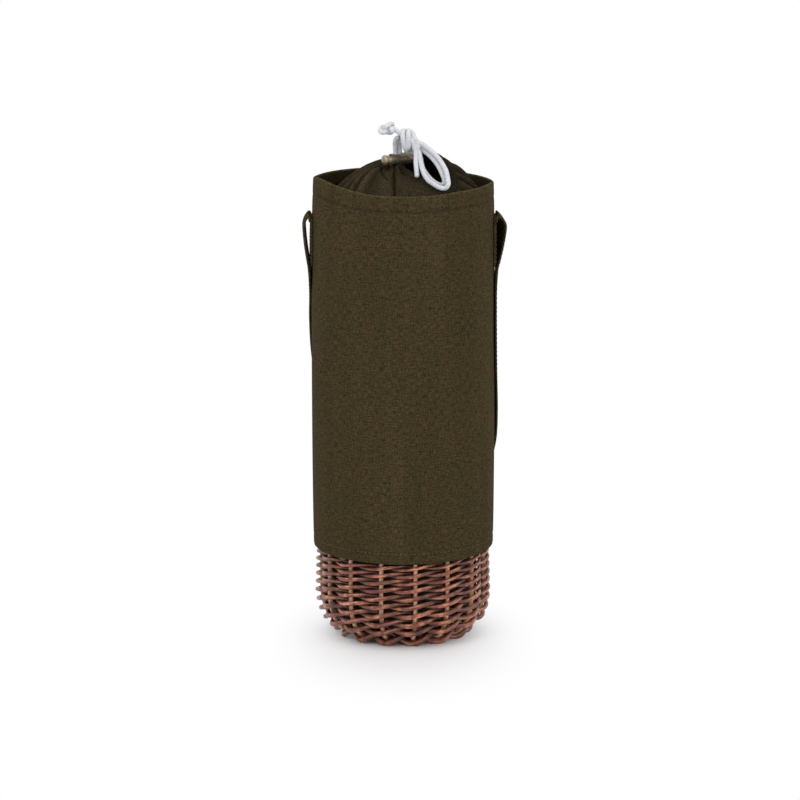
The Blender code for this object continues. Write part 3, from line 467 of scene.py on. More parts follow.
@dataclass(frozen=True)
class ClothFinish:
    """A plain woven cloth with slubs and soft bands, on UVs in metres, and painted light and shade from a
    kept attribute where one is named: painted highlights on raised places and painted shade in hollows.
    """

    name: str
    colour: tuple = (0.0545, 0.0395, 0.0178)
    thread_pitch: float = 0.0011
    slub_contrast: float = 0.62
    band_contrast: float = 0.14
    roughness: float = 0.92
    # The kept attribute that sets the cloth's painted light and shade, if any.
    shade: str = ""

    def material(self) -> bpy.types.Material:
        """Build the cloth's material.

        Returns:
            The new material.
        """
        board = NodeBoard(self.name)
        per_metre = 1 / self.thread_pitch
        warp = board.cloud((per_metre * 1.1, per_metre * 0.26, 1), 2.0)
        weft = board.cloud((per_metre * 0.24, per_metre * 1.0, 1), 2.0)
        specks = board.cloud((per_metre * 1.2, per_metre * 1.2, 1), 2.0)
        crossed = board.sums("MULTIPLY", board.sums("ADD", warp, weft), 0.32)
        threads = board.sums("ADD", crossed, board.sums("MULTIPLY", specks, 0.36))
        bands = board.cloud((42, 3.0, 1), 2.0)
        patches = board.cloud((70, 45, 1), 3.0)
        dark = tuple(c * (1 - self.slub_contrast) for c in self.colour)
        light = tuple(c * (1 + self.slub_contrast * 1.1) for c in self.colour)
        woven = board.ramp(threads, ((0.38, dark), (0.5, self.colour), (0.62, light)))
        low = tuple([1 - self.band_contrast] * 3)
        banded = board.tinted(woven, bands, ((0.35, low), (0.65, (1, 1, 1))))
        mottled_and_painted_light = board.tinted(banded, patches, ((0.34, (0.88, 0.97, 0.93)), (0.66, (1.04, 0.99, 0.98))))
        if self.shade:
            # Painted light and shade: half the attribute picks a factor, painted shade below 0.35, the plain
            # colour at 0.35, a painted highlight above it, and a strong painted light up to 1 for the
            # collar's inner face.
            depth = board.sums("MULTIPLY", board.attribute(self.shade), 0.5)
            stops = (
                (0.0, (0.10, 0.09, 0.09)), (0.225, (0.52, 0.49, 0.47)), (0.35, (1, 1, 1)),
                (0.5, (1.65, 1.65, 1.6)), (1.0, (7.5, 7.0, 7.0)),
            )
            mottled_and_painted_light = board.tinted(mottled_and_painted_light, depth, stops)
        across, along, _ = board.split(board.stretched((math.tau * per_metre, math.tau * per_metre, 1)))
        weave = board.sums("MULTIPLY", board.sums("SINE", across), board.sums("SINE", along))
        fine = board.relief(weave, 0.00012, 0.5)
        normal = board.relief(threads, 0.0004, 0.7, fine)
        return board.finish(mottled_and_painted_light, self.roughness, normal, Specular_IOR_Level=0.04)


@dataclass(frozen=True)
class WillowFinish:
    """Stained willow: streaks along the rod and a darker stain in places, with painted shade where a rod dips
    into the weave and a painted highlight where it stands out.
    """

    name: str
    dark: tuple = (0.050, 0.010, 0.005)
    middle: tuple = (0.19, 0.046, 0.021)
    light: tuple = (0.68, 0.29, 0.165)
    roughness: float = 0.40

    def material(self) -> bpy.types.Material:
        """Build the willow's material.

        Returns:
            The new material.
        """
        board = NodeBoard(self.name)
        streaks = board.cloud((5.5, 55, 1), 4.0, 0.6)
        fibres = board.cloud((26, 120, 1), 2.0)
        stain = board.cloud((150, 150, 150), 3.0, source="Object")
        share = board.sums("ADD", board.sums("MULTIPLY", streaks, 0.6), board.sums("MULTIPLY", stain, 0.4))
        colour = board.ramp(share, ((0.38, self.dark), (0.5, self.middle), (0.64, self.light)))
        shaded = board.tinted(colour, fibres, ((0.3, (0.72, 0.70, 0.68)), (0.7, (1.12, 1.1, 1.08))))
        # Painted shade and highlight: the kept outside share darkens a rod where it passes in behind the
        # weave and lightens it where it stands out in front.
        painted_weave_light = ((0.0, (0.22, 0.19, 0.18)), (0.5, (0.66, 0.62, 0.60)), (1.0, (1.22, 1.20, 1.20)))
        shaded = board.tinted(shaded, board.attribute("outside"), painted_weave_light)
        rough = board.sums("ADD", board.sums("MULTIPLY", fibres, 0.25), self.roughness - 0.1)
        normal = board.relief(fibres, 0.00025, 0.5, board.relief(streaks, 0.0006, 0.4))
        return board.finish(shaded, rough, normal, Coat_Weight=0.30, Coat_Roughness=0.22)


@dataclass(frozen=True)
class BraidFinish:
    """A braided cord: crossed strands with painted shade between them and a painted highlight on their
    crowns, and a few grey flecks.
    """

    name: str
    colour: tuple = (0.94, 0.95, 0.98)
    shade: tuple = (0.50, 0.52, 0.62)
    strands: float = 6.0
    pitch: float = 0.0052

    def material(self) -> bpy.types.Material:
        """Build the cord's material on UVs round and along the cord.

        Returns:
            The new material.
        """
        board = NodeBoard(self.name)
        half_turn = math.pi * self.strands
        turn, along, _ = board.split(board.stretched((half_turn, half_turn / self.pitch, 1)))
        right = board.sums("ABSOLUTE", board.sums("SINE", board.sums("ADD", turn, along)))
        left = board.sums("ABSOLUTE", board.sums("SINE", board.sums("SUBTRACT", turn, along)))
        crossing = board.sums("POWER", board.sums("MULTIPLY", right, left), 0.45)
        flecks = board.cloud((14, 1500, 1), 2.0)
        soft = board.cloud((3, 240, 1), 2.0)
        crown_highlight = tuple(min(1, c * 1.06) for c in self.colour)
        # Painted shade where the strands dip between each other and a painted highlight on their crowns.
        base = board.ramp(crossing, ((0.12, self.shade), (0.62, self.colour), (1.0, crown_highlight)))
        flecked = board.tinted(base, flecks, ((0.34, (0.42, 0.44, 0.52)), (0.42, (1, 1, 1))))
        worn = board.tinted(flecked, soft, ((0.3, (0.93, 0.94, 0.96)), (0.6, (1, 1, 1))))
        normal = board.relief(crossing, 0.0005, 0.9)
        return board.finish(worn, 0.72, normal, Sheen_Weight=0.1, Specular_IOR_Level=0.3)


@dataclass(frozen=True)
class BronzeFinish:
    """Bronze-coloured plastic of a cord lock, a little rubbed along its length."""

    name: str
    colour: tuple = (0.105, 0.082, 0.055)
    rubbed: tuple = (0.19, 0.155, 0.105)
    metallic: float = 0.55
    roughness: float = 0.36

    def material(self) -> bpy.types.Material:
        """Build the lock's material.

        Returns:
            The new material.
        """
        board = NodeBoard(self.name)
        rubs = board.cloud((260, 260, 900), 3.0, source="Object")
        specks = board.cloud((1400, 1400, 1400), 2.0, source="Object")
        colour = board.ramp(rubs, ((0.4, self.colour), (0.68, self.rubbed)))
        rough = board.sums("ADD", board.sums("MULTIPLY", specks, 0.22), self.roughness - 0.1)
        normal = board.relief(specks, 0.00006, 0.35)
        return board.finish(colour, rough, normal, Metallic=self.metallic)


@dataclass(frozen=True)
class PlainFinish:
    """A plain material with a fine grain, for what lies inside and for thread."""

    name: str
    colour: tuple
    roughness: float = 0.85
    grain: float = 900.0
    metallic: float = 0.0

    def material(self) -> bpy.types.Material:
        """Build the material on object coordinates.

        Returns:
            The new material.
        """
        board = NodeBoard(self.name)
        grain = board.cloud((self.grain,) * 3, 2.0, source="Object")
        dark = tuple(c * 0.72 for c in self.colour)
        light = tuple(min(1.0, c * 1.22) for c in self.colour)
        colour = board.ramp(grain, ((0.36, dark), (0.64, light)))
        return board.finish(colour, self.roughness, board.relief(grain, 0.0002, 0.4), Metallic=self.metallic)


# ---------------------------------------------------------------------------
# Sewing
# ---------------------------------------------------------------------------


@dataclass
class Stitching:
    """Rows of single stitches, each a small thread pressed into the cloth."""

    material: bpy.types.Material
    length: float = 0.0024
    thickness: float = 0.00046
    spacing: float = 0.0035

    def one_stitch(self) -> tuple[np.ndarray, list]:
        """Model a single stitch along X.

        Returns:
            Its corners and its faces.
        """
        bpy.ops.object.select_all(action="DESELECT")
        bpy.ops.mesh.primitive_uv_sphere_add(segments=6, ring_count=4, radius=0.5)
        ball = bpy.context.active_object
        bpy.ops.transform.resize(value=(self.length, self.thickness, self.thickness))
        settle(ball)
        corners = np.array([v.co[:] for v in ball.data.vertices])
        faces = [tuple(face.vertices) for face in ball.data.polygons]
        bpy.data.objects.remove(ball)
        return corners, faces

    def sew(self, name: str, lines: list[list[Vector]], body: Body) -> None:
        """Copy the stitch along lines on a cloth.

        Args:
            name: The name of the seam.
            lines: The lines that the stitches follow.
            body: The body that the seam rides on.
        """
        corners, faces = self.one_stitch()
        verts, polygons = [], []
        for line in lines:
            even = even_line(line, self.spacing)
            for a, b in zip(even, even[1:]):
                along = (b - a).normalized()
                across = along.cross(UP)
                across = across.normalized() if across.length > 0.1 else Vector((1, 0, 0))
                frame_of = np.array([along[:], across[:], along.cross(across)[:]])
                start = len(verts)
                middle = np.array(((a + b) / 2)[:])
                verts.extend(map(tuple, corners @ frame_of + middle))
                polygons.extend(tuple(start + corner for corner in face) for face in faces)
        dress(new_object(name, verts, polygons), self.material, body)


# ---------------------------------------------------------------------------
# Willow foot
# ---------------------------------------------------------------------------


@dataclass
class WillowFoot:
    """The woven willow: base sticks, base weave, stakes, foot wale, side weave and border."""

    stake_count: int = 15
    first_stake: float = math.radians(8.5)
    stakes_to_back: int = 7
    stake_circle: float = 0.0632
    stake_radius: float = 0.0017
    stake_top: float = 0.0790
    flat_radius: float = 0.0455
    base_height: float = 0.0050
    shoulder: float = 0.0360
    tail_radius: float = 0.0340
    weave_gap: float = 0.00025
    butt_radius: float = 0.00172
    tip_radius: float = 0.00115
    crossing_gap: float = 0.0002
    row_gap: float = 0.00036
    foot_rod: float = 0.0021
    foot_wear: float = 0.0003
    border_rod: float = 0.0013
    border_height: float = 0.0756
    border_pull: float = 0.012
    spoke_radius: float = 0.0018
    spoke_end: float = 0.0440
    stick_gap: float = 0.0003
    single_spoke: float = math.radians(5.5)
    spoke_flat_share: float = 0.275
    stick_direction: float = math.radians(50.5)
    stick_height: float = 0.0013
    cross_half: float = 0.0090
    base_weave_start: float = 0.0210
    base_weaver: float = 0.0013
    base_row_gap: float = 0.00045
    fine: int = 8
    bend_steps: int = 240
    hidden_shade: float = 0.72

    def __post_init__(self) -> None:
        """Work out the curve from the flat base to the upright side."""
        reach, rise = self.stake_circle - self.flat_radius, self.shoulder - self.base_height
        self.curve = []
        arc = self.flat_radius
        last = Vector((self.flat_radius, self.base_height))
        for i in range(self.bend_steps + 1):
            turn = math.pi / 2 * i / self.bend_steps
            spot = Vector((self.flat_radius + reach * math.sin(turn), self.shoulder - rise * math.cos(turn)))
            outward = Vector((rise * math.sin(turn), -reach * math.cos(turn))).normalized()
            arc += (spot - last).length
            last = spot
            self.curve.append((arc, spot, outward))

    def rib(self, arc: float) -> tuple[Vector, Vector]:
        """(radius, height) and the outward direction of the willow's line at an arc length.

        Args:
            arc: The length along the willow from the basket's axis.

        Returns:
            The place and the outward direction, both as (radius, height).
        """
        if arc <= self.curve[0][0]:
            return Vector((arc, self.base_height)), Vector((0, -1))
        if arc >= self.curve[-1][0]:
            return Vector((self.stake_circle, self.shoulder + arc - self.curve[-1][0])), Vector((1, 0))
        low, high = 0, len(self.curve) - 1
        while high - low > 1:
            middle = (low + high) // 2
            low, high = (middle, high) if self.curve[middle][0] < arc else (low, middle)
        first, second = self.curve[low], self.curve[high]
        share = (arc - first[0]) / (second[0] - first[0])
        return first[1].lerp(second[1], share), first[2].lerp(second[2], share).normalized()

    def on_rib(self, arc: float, offset: float, angle: float) -> Vector:
        """The point an offset outside the willow's line, at an angle from the front."""
        spot, outward = self.rib(arc)
        spot = spot + outward * offset
        return around(spot.x, angle, spot.y)

    def upright_arc(self, height: float) -> float:
        """The arc length at which the upright side reaches a height."""
        return self.curve[-1][0] + height - self.shoulder

    def stake_angles(self) -> list[float]:
        """The angle of every stake."""
        return [self.first_stake + angle for angle in full_turn(self.stake_count)]

    def spoke_angles(self) -> list[float]:
        """The angle of every spoke of the base."""
        around_it = self.stake_angles()
        between = [(a + b) / 2 for a, b in zip(around_it[0::2], around_it[1::2])]
        return between + [around_it[-1] + self.single_spoke]

    def foot_swing(self) -> float:
        """How far the foot wale passes outside and inside the stakes."""
        return self.stake_radius + self.foot_rod + 2 * self.weave_gap

    def foot_arc(self) -> float:
        """Where along the willow's line the foot wale lies, so that it wears flat on the floor."""
        low, high = self.curve[0][0], self.curve[-1][0]
        for _ in range(40):
            middle = (low + high) / 2
            spot, outward = self.rib(middle)
            lowest = spot.y + outward.y * self.foot_swing() - self.foot_rod
            low, high = (middle, high) if lowest < -self.foot_wear else (low, middle)
        return low

    def rod(self, name: str, points: list[Vector], radii: list[float], material: bpy.types.Material,
            sides: int = 12, outside: list[float] | None = None) -> None:
        """Sweep one willow rod, worn flat where it stands on the floor.

        Args:
            name: The rod's name.
            points: Its centres.
            radii: Its radius at each centre.
            material: The willow.
            sides: Corners round the rod.
            outside: How far it stands out of the weave at each centre, from 0 to 1, which sets its painted
                shade and painted highlight.
        """
        item = tube(f"{name}_rod", points, radii, sides, round_ends=False)
        for corner in item.data.vertices:
            corner.co.z = max(corner.co.z, 0.0)
        # Rods with no share given take one even, slight painted shade.
        painted_light_share = outside or [self.hidden_shade] * len(points)
        values = [value for value in painted_light_share for _ in range(sides)]
        keep_values(item, "outside", values + [painted_light_share[0], painted_light_share[-1]])
        seed = sum(map(ord, name)) % 97
        layer = item.data.uv_layers[0].data
        for loop in layer:
            loop.uv.y += seed * 0.731
        dress(item, material, Body.BASKET, (name,))

    def twist(self, arc: float, twist: float, swing: float, angle: float, lift: float) -> Vector:
        """A point of one of two rods that twist round each other between the stakes."""
        return self.on_rib(arc + lift * math.sin(twist), swing * math.cos(twist), angle)

    def side_weave(self, material: bpy.types.Material) -> None:
        """Weave the two long weavers up the stakes, thicker where each passes in front of one."""
        spare = 2 * self.butt_radius + self.crossing_gap + self.row_gap
        start = self.foot_arc() + 2 * (self.foot_rod + self.weave_gap) + spare
        border_bottom = self.upright_arc(self.border_height) - 2 * self.border_rod - self.weave_gap
        end = border_bottom - 2 * self.tip_radius - self.crossing_gap - self.row_gap
        first = self.stake_angles()[self.stakes_to_back]
        for strand, name in enumerate(("side_weaver_a", "side_weaver_b")):
            points, radii, painted_light_share = [], [], []
            arc, step = start, 0
            while arc < end:
                slim = mix(self.butt_radius, self.tip_radius, (arc - start) / (end - start))
                turns = step / self.fine
                twist = math.pi * (turns + strand)
                outside = max(0.0, math.cos(twist))
                vary = wobble(turns * 0.9, strand * 7.3, 0.4)
                loose = clamp((end - arc) / self.border_pull)
                radius = slim * (1.0 + mix(0.12, 0.16, loose) * outside + 0.06 * vary)
                uneven = 0.08 * wobble(turns * 0.6, strand * 3.1, 5.0)
                swing = self.stake_radius + slim * (mix(0.98, 1.32, loose) + uneven)
                stray = 0.22 * slim * wobble(turns * 0.8, strand * 5.7, 9.0)
                angle = first + turns * math.tau / self.stake_count
                points.append(self.twist(arc + stray, twist, swing, angle, slim + self.crossing_gap))
                radii.append(radius)
                # Painted light share: lit where the weaver passes in front of a stake, in painted shade
                # behind it.
                painted_light_share.append(0.5 + 0.5 * math.cos(twist) * abs(math.cos(twist)) ** 0.2)
                arc += 2 * (2 * slim + self.row_gap) / self.stake_count / self.fine
                step += 1
            self.rod(name, points, radii, material, 12, painted_light_share)

    def ring_pair(self, names: tuple, arc: float, radius: float, swing: float, lift: float,
                  material: bpy.types.Material) -> None:
        """Lay two rods round the stakes that twist round each other.

        Args:
            names: The two rods' names.
            arc: Where along the willow's line they lie.
            radius: Their radius.
            swing: How far they pass outside and inside the stakes.
            lift: How far they pass over and under each other.
            material: The willow.
        """
        first = self.stake_angles()[self.stakes_to_back]
        for strand, name in enumerate(names):
            points, radii, painted_light_share = [], [], []
            for step in range(self.stake_count * self.fine + 1):
                turns = step / self.fine
                twist = math.pi * (turns + strand)
                angle = first + turns * math.tau / self.stake_count
                uneven = 0.04 * wobble(turns, strand * 4.4, 2.0)
                size = radius * (1 + 0.1 * max(0.0, math.cos(twist)) + uneven)
                points.append(self.twist(arc, twist, swing, angle, lift))
                radii.append(size)
                # Painted light share: lit where the rod passes in front of a stake, in painted shade behind
                # it.
                painted_light_share.append(0.55 + 0.45 * math.cos(twist))
            self.rod(name, points[1:-1], radii[1:-1], material, 14, painted_light_share[1:-1])

    def stakes(self, material: bpy.types.Material) -> None:
        """Set the stakes: a tail beside a spoke, the bend at the foot, and the upright."""
        inner = self.spoke_radius + self.stake_radius + self.stick_gap
        wale = self.foot_arc()
        spokes = self.spoke_angles()
        for k, angle in enumerate(self.stake_angles()):
            side = -1 if k % 2 == 0 else 1
            spoke = spokes[k // 2]
            tail = around(self.tail_radius, spoke, self.base_height)
            across = Vector((math.cos(spoke), math.sin(spoke), 0)) * side * inner
            route = [tail + across, self.on_rib(wale, 0, angle)]
            shares = [0.06 + 0.94 * i / 16 for i in range(17)]
            route += [self.on_rib(mix(wale, self.curve[-1][0], share), 0, angle) for share in shares]
            heights = (0.045, 0.055, 0.065, self.stake_top)
            route += [self.on_rib(self.upright_arc(z), 0, angle) for z in heights]
            name = f"stake_{k + 1:02d}"
            radii = [self.stake_radius * (1 + 0.03 * wobble(k * 3.1, i * 0.7)) for i in range(len(route))]
            # Stakes take the full painted highlight along their whole length.
            self.rod(name, route, radii, material, 12, [1.0] * len(route))

    def base_sticks(self, material: bpy.types.Material) -> None:
        """Cross two split sticks below and two above, and open their ends out as spokes."""
        pitch = 2 * self.spoke_radius + self.stick_gap
        spokes = self.spoke_angles()
        upper = self.stick_height + pitch
        layers = (
            (5, 0, 0, 0.0, self.stick_height),
            (4, 1, 0, pitch, self.stick_height),
            (7, 2, 1, -pitch / 2, upper),
            (6, 3, 1, pitch / 2, upper),
        )
        for number, (start, end, turns, offset, height) in enumerate(layers, 1):
            direction = self.stick_direction + turns * math.pi / 2
            along, left = around(1, direction, 0), around(1, direction + math.pi / 2, 0)
            middle = left * offset + UP * height
            route = [
                around(self.spoke_end, spokes[start], self.base_height),
                around(self.base_weave_start, spokes[start], self.base_height),
                middle - along * self.cross_half,
                middle + along * self.cross_half,
                around(self.base_weave_start, spokes[end], self.base_height),
                around(self.spoke_end, spokes[end], self.base_height),
            ]
            line = []
            for a, b in zip(route, route[1:]):
                line += [a.lerp(b, i / 5) for i in range(5)]
            line.append(route[-1])
            soft = [line[0]] + [(a + 2 * b + c) / 4 for a, b, c in zip(line, line[1:], line[2:])] + [line[-1]]
            self.rod(f"base_stick_{number}", soft, [self.spoke_radius] * len(soft), material, 12)

    def base_weave(self, material: bpy.types.Material) -> None:
        """Weave the base: each weaver passes over every second spoke and under the others."""
        end = self.foot_arc() - self.foot_swing() - self.foot_rod - self.stick_gap - 3 * self.base_weaver
        rise = 2 * (2 * self.base_weaver + self.base_row_gap)
        clear = self.spoke_radius + self.base_weaver + self.weave_gap
        spokes = self.spoke_angles()
        for strand, name in enumerate(("base_weaver_a", "base_weaver_b")):
            points = []
            arc, turn = self.base_weave_start, 0
            while arc < end:
                for k, angle in enumerate(spokes):
                    side = 1 if (k + strand) % 2 == 0 else -1
                    before = (angle - spokes[k - 1]) % math.tau
                    after = (spokes[(k + 1) % len(spokes)] - angle) % math.tau
                    flat = self.spoke_flat_share
                    for theta in (angle - before * flat, angle + after * flat):
                        turns = turn + (theta - spokes[0]) / math.tau + strand / 2
                        arc = self.base_weave_start + rise * turns
                        if arc < end:
                            points.append(self.on_rib(arc, side * clear, theta))
                turn += 1
            line = smooth_line(points, 4)
            self.rod(name, line, [self.base_weaver] * len(line), material, 10)

    def build(self) -> None:
        """Make every rod of the willow and dress it."""
        weavers = WillowFinish("stained_weavers").material()
        upright = WillowFinish(
            "stained_stakes", dark=(0.22, 0.10, 0.06), middle=(0.50, 0.27, 0.155), light=(0.80, 0.54, 0.36)
        ).material()
        thick = WillowFinish("stained_wale", light=(0.46, 0.19, 0.11)).material()
        self.base_sticks(thick)
        self.base_weave(weavers)
        self.stakes(upright)
        swing = self.foot_swing()
        self.ring_pair(
            ("foot_wale_a", "foot_wale_b"), self.foot_arc(), self.foot_rod, swing,
            self.foot_rod + 2 * self.weave_gap, thick,
        )
        self.side_weave(weavers)
        border = self.stake_radius + self.border_rod + self.weave_gap
        self.ring_pair(
            ("top_border_a", "top_border_b"), self.upright_arc(self.border_height), self.border_rod, border,
            self.border_rod + self.weave_gap, weavers,
        )


# ---------------------------------------------------------------------------
# Canvas sleeve and strap
# ---------------------------------------------------------------------------


@dataclass
class CanvasSleeve:
    """The outer canvas: a folded rim, a body with soft ripples, and a stitched hem over the willow."""

    rim_height: float = 0.355
    hem_height: float = 0.070
    rim_radius: float = 0.0692
    hem_radius: float = 0.0694
    belly_swell: float = 0.0012
    layer: float = 0.00045
    inner_face: float = -0.0011
    seam_width: float = 0.0011
    pucker_width: float = 0.004
    lift_depth: float = 0.05
    lean_share: float = 0.16
    stitch_stand: float = 0.00032
    hem_rises: tuple = (0.0014, 0.0026, 0.0044, 0.006, 0.0070, 0.0078, 0.0086, 0.0096, 0.012)
    rim_drops: tuple = (0.016, 0.0136, 0.0127, 0.0118, 0.0109, 0.010, 0.0075, 0.004, 0.0014)
    hem_profile: tuple = (
        (-0.00125, 0.010, 0.4), (-0.00125, 0.005, 0.4), (-0.00125, 0.0012, 0.4),
        (-0.0009, 0.0002, 0.6), (-0.0005, -0.0001, 0.8), (-0.0001, 0.0004, 1.0),
    )
    rim_profile: tuple = (
        (-0.0001, 0.0004, 1.0), (-0.0005, 0.0, 1.0), (-0.0010, 0.0003, 0.9), (-0.00125, 0.0014, 0.7),
        (-0.00125, 0.005, 0.7), (-0.00125, 0.009, 0.7), (-0.00125, 0.0122, 0.7),
    )
    tape: tuple = ((-0.0052, 0.0001), (-0.0048, 0.0008), (0.0, 0.0010), (0.0048, 0.0008), (0.0052, 0.0001))
    rim_stitch_drop: float = 0.0118
    hem_stitch_rise: float = 0.0078
    columns: int = 288
    rim_line: tuple = (
        (0, 0.0), (17, -0.3), (30, 1.0), (40, 1.4), (52, 1.6), (62, 1.8), (72, 2.3), (80, 1.6), (90, 0.2),
        (100, -0.8), (113, -1.4), (128, -1.7), (138, -1.8), (152, -1.0), (168, -0.3), (200, 0.1), (215, 0.5),
        (232, 1.2), (247, 1.7), (260, 2.4), (270, 3.4), (276, 5.0), (283, 6.2), (292, 6.6), (300, 6.2),
        (311, 4.7), (325, 2.6), (333, 1.1), (341, 0.1), (352, -0.1), (360, 0.0),
    )

    def radius_at(self, height: float) -> float:
        """The outer radius at a height, which swells a little between the hem and the rim."""
        share = clamp((height - self.hem_height) / (self.rim_height - self.hem_height))
        swell = self.belly_swell * (4 * share * (1 - share)) ** 0.6
        return mix(self.hem_radius, self.rim_radius, share) + swell

    def rim_lift(self, angle: float) -> float:
        """How far the soft rim stands above or below its even height at an angle."""
        near = [read_table(self.rim_line, (math.degrees(angle) + away) % 360) for away in (-6, -3, 0, 3, 6)]
        return 0.001 * sum(near) / 5

    def lift_at(self, angle: float, height: float) -> float:
        """How far the rim's line moves the cloth at a height, which fades out below the rim."""
        share = max(0.0, (height - self.rim_height + self.lift_depth) / self.lift_depth)
        return self.rim_lift(angle) * share**1.5

    def from_seams(self, height: float) -> tuple[float, float]:
        """The height above the rim's line of stitches, and above the hem's."""
        above_rim = height - self.rim_height + self.rim_stitch_drop
        return above_rim, height - self.hem_height - self.hem_stitch_rise

    def ripple(self, angle: float, height: float) -> float:
        """How far the cloth stands in or out at a place, from soft upright folds and the seams."""
        broad = 0.00028 * ring_noise(angle, 1.6, height * 4.0)
        upright = 0.00016 * ring_noise(angle, 5.5, height * 1.6 + 3)
        slack = 0.00012 * ring_noise(angle, 14, height * 9 + 8)
        rim, hem = self.from_seams(height)
        pull_rim = -0.00036 * bump(rim, self.seam_width)
        pull_hem = -0.00034 * bump(hem, self.seam_width)
        pucker = 0.00018 * ring_noise(angle, 42, 2.0)
        near = bump(rim, self.pucker_width) + bump(hem, self.pucker_width)
        return broad + upright + slack + pull_rim + pull_hem + pucker * near

    def outer(self, angle: float, height: float, stand: float = 0.0) -> Vector:
        """A point on the sleeve's outer face, standing a little off it where asked."""
        lift = self.lift_at(angle, height)
        lean = self.lean_share * max(0.0, lift)
        radius = self.radius_at(height) + self.ripple(angle, height) + stand - lean
        return around(radius, angle, height + lift)

    def body(self, canvas: bpy.types.Material) -> None:
        """Loft the sleeve from inside its hem, round the fold, up the outside and in over the rim.

        Args:
            canvas: The canvas.
        """
        profile = [(offset, self.hem_height + rise, loose) for offset, rise, loose in self.hem_profile]
        heights = [self.hem_height + rise for rise in self.hem_rises]
        heights += [mix(self.hem_height + 0.016, self.rim_height - 0.019, i / 44) for i in range(45)]
        heights += [self.rim_height - drop for drop in self.rim_drops]
        profile += [(0.0, height, 1.0) for height in heights]
        profile += [(offset, self.rim_height - drop, loose) for offset, drop, loose in self.rim_profile]
        rows = []
        for offset, height, loose in profile:
            row = []
            for angle in full_turn(self.columns):
                edge = 0.0
                if height < self.hem_height + 0.02:
                    edge = 0.0007 * ring_noise(angle, 1.4, 6.0)
                if height > self.rim_height - 0.02:
                    edge = 0.0005 * ring_noise(angle, 1.2, 16.0)
                lift = self.lift_at(angle, height)
                lean = self.lean_share * max(0.0, lift)
                radius = self.radius_at(height) + offset + self.ripple(angle, height) * loose - lean
                point = around(radius, angle, height)
                point.z += edge + lift
                row.append(point)
            rows.append(row)
        us = [self.rim_radius * math.tau * k / self.columns for k in range(self.columns + 1)]
        item = sheet_mesh("canvas_sleeve", rows, us, lengths_along([row[0] for row in rows]), closed=True)
        # The depth attribute paints light and shade into the canvas: a painted highlight along the rim's
        # fold, painted shade along the rim and hem stitch lines and on the turned-in inner faces, and soft
        # random bands.
        values = []
        for offset, height, _ in profile:
            edge = bump(height - self.rim_height, 0.0007) if offset > self.inner_face else 0.0
            seam, hem = (bump(away, self.seam_width) for away in self.from_seams(height))
            inside = 0.22 if offset < self.inner_face else 0.0
            for angle in full_turn(self.columns):
                band = 0.05 * ring_noise(angle, 3.5, height * 2.5)
                values.append(0.7 + band + 0.22 * edge - 0.12 * seam - 0.07 * hem - inside)
        keep_values(item, "depth", values)
        thicken(item, self.layer)
        dress(item, canvas, Body.BASKET, ("canvas_body",))

    def seams(self, dark: Stitching, pale: Stitching, canvas: bpy.types.Material) -> None:
        """Sew the rim and the hem, and the upright seam at the back with its flat overlap.

        Args:
            dark: The stitching of the rim and the back.
            pale: The stitching of the hem.
            canvas: The canvas.
        """
        fine = [math.tau * k / 720 for k in range(721)]
        rim = [self.outer(a, self.rim_height - self.rim_stitch_drop, self.stitch_stand) for a in fine]
        hem = [self.outer(a, self.hem_height + self.hem_stitch_rise, self.stitch_stand) for a in fine]
        dark.sew("rim_stitches", [rim], Body.BASKET)
        pale.sew("hem_stitches", [hem], Body.BASKET)
        heights = [mix(self.hem_height + 0.0007, self.rim_height - 0.0007, i / 60) for i in range(61)]
        strips = []
        for side, lift in self.tape:
            angle = math.pi + side / self.rim_radius
            strips.append([self.outer(angle, z, lift) for z in heights])
        us = [0.2 + i * 0.0026 for i in range(5)]
        rows = [[strip[i] for strip in strips] for i in range(len(heights))]
        item = sheet_mesh("back_seam", rows, us, heights)
        # An even depth value: the tape takes no painted highlight or shade, only a tone a little darker than
        # the canvas colour.
        keep_values(item, "depth", [0.66] * (len(rows) * len(strips)))
        thicken(item, 0.0003)
        dress(item, canvas, Body.BASKET)
        lines = [
            [self.outer(math.pi + side / self.rim_radius, z, 0.0013) for z in heights[1:-1]]
            for side in (-0.0036, 0.0036)
        ]
        dark.sew("back_seam_stitches", lines, Body.BASKET)


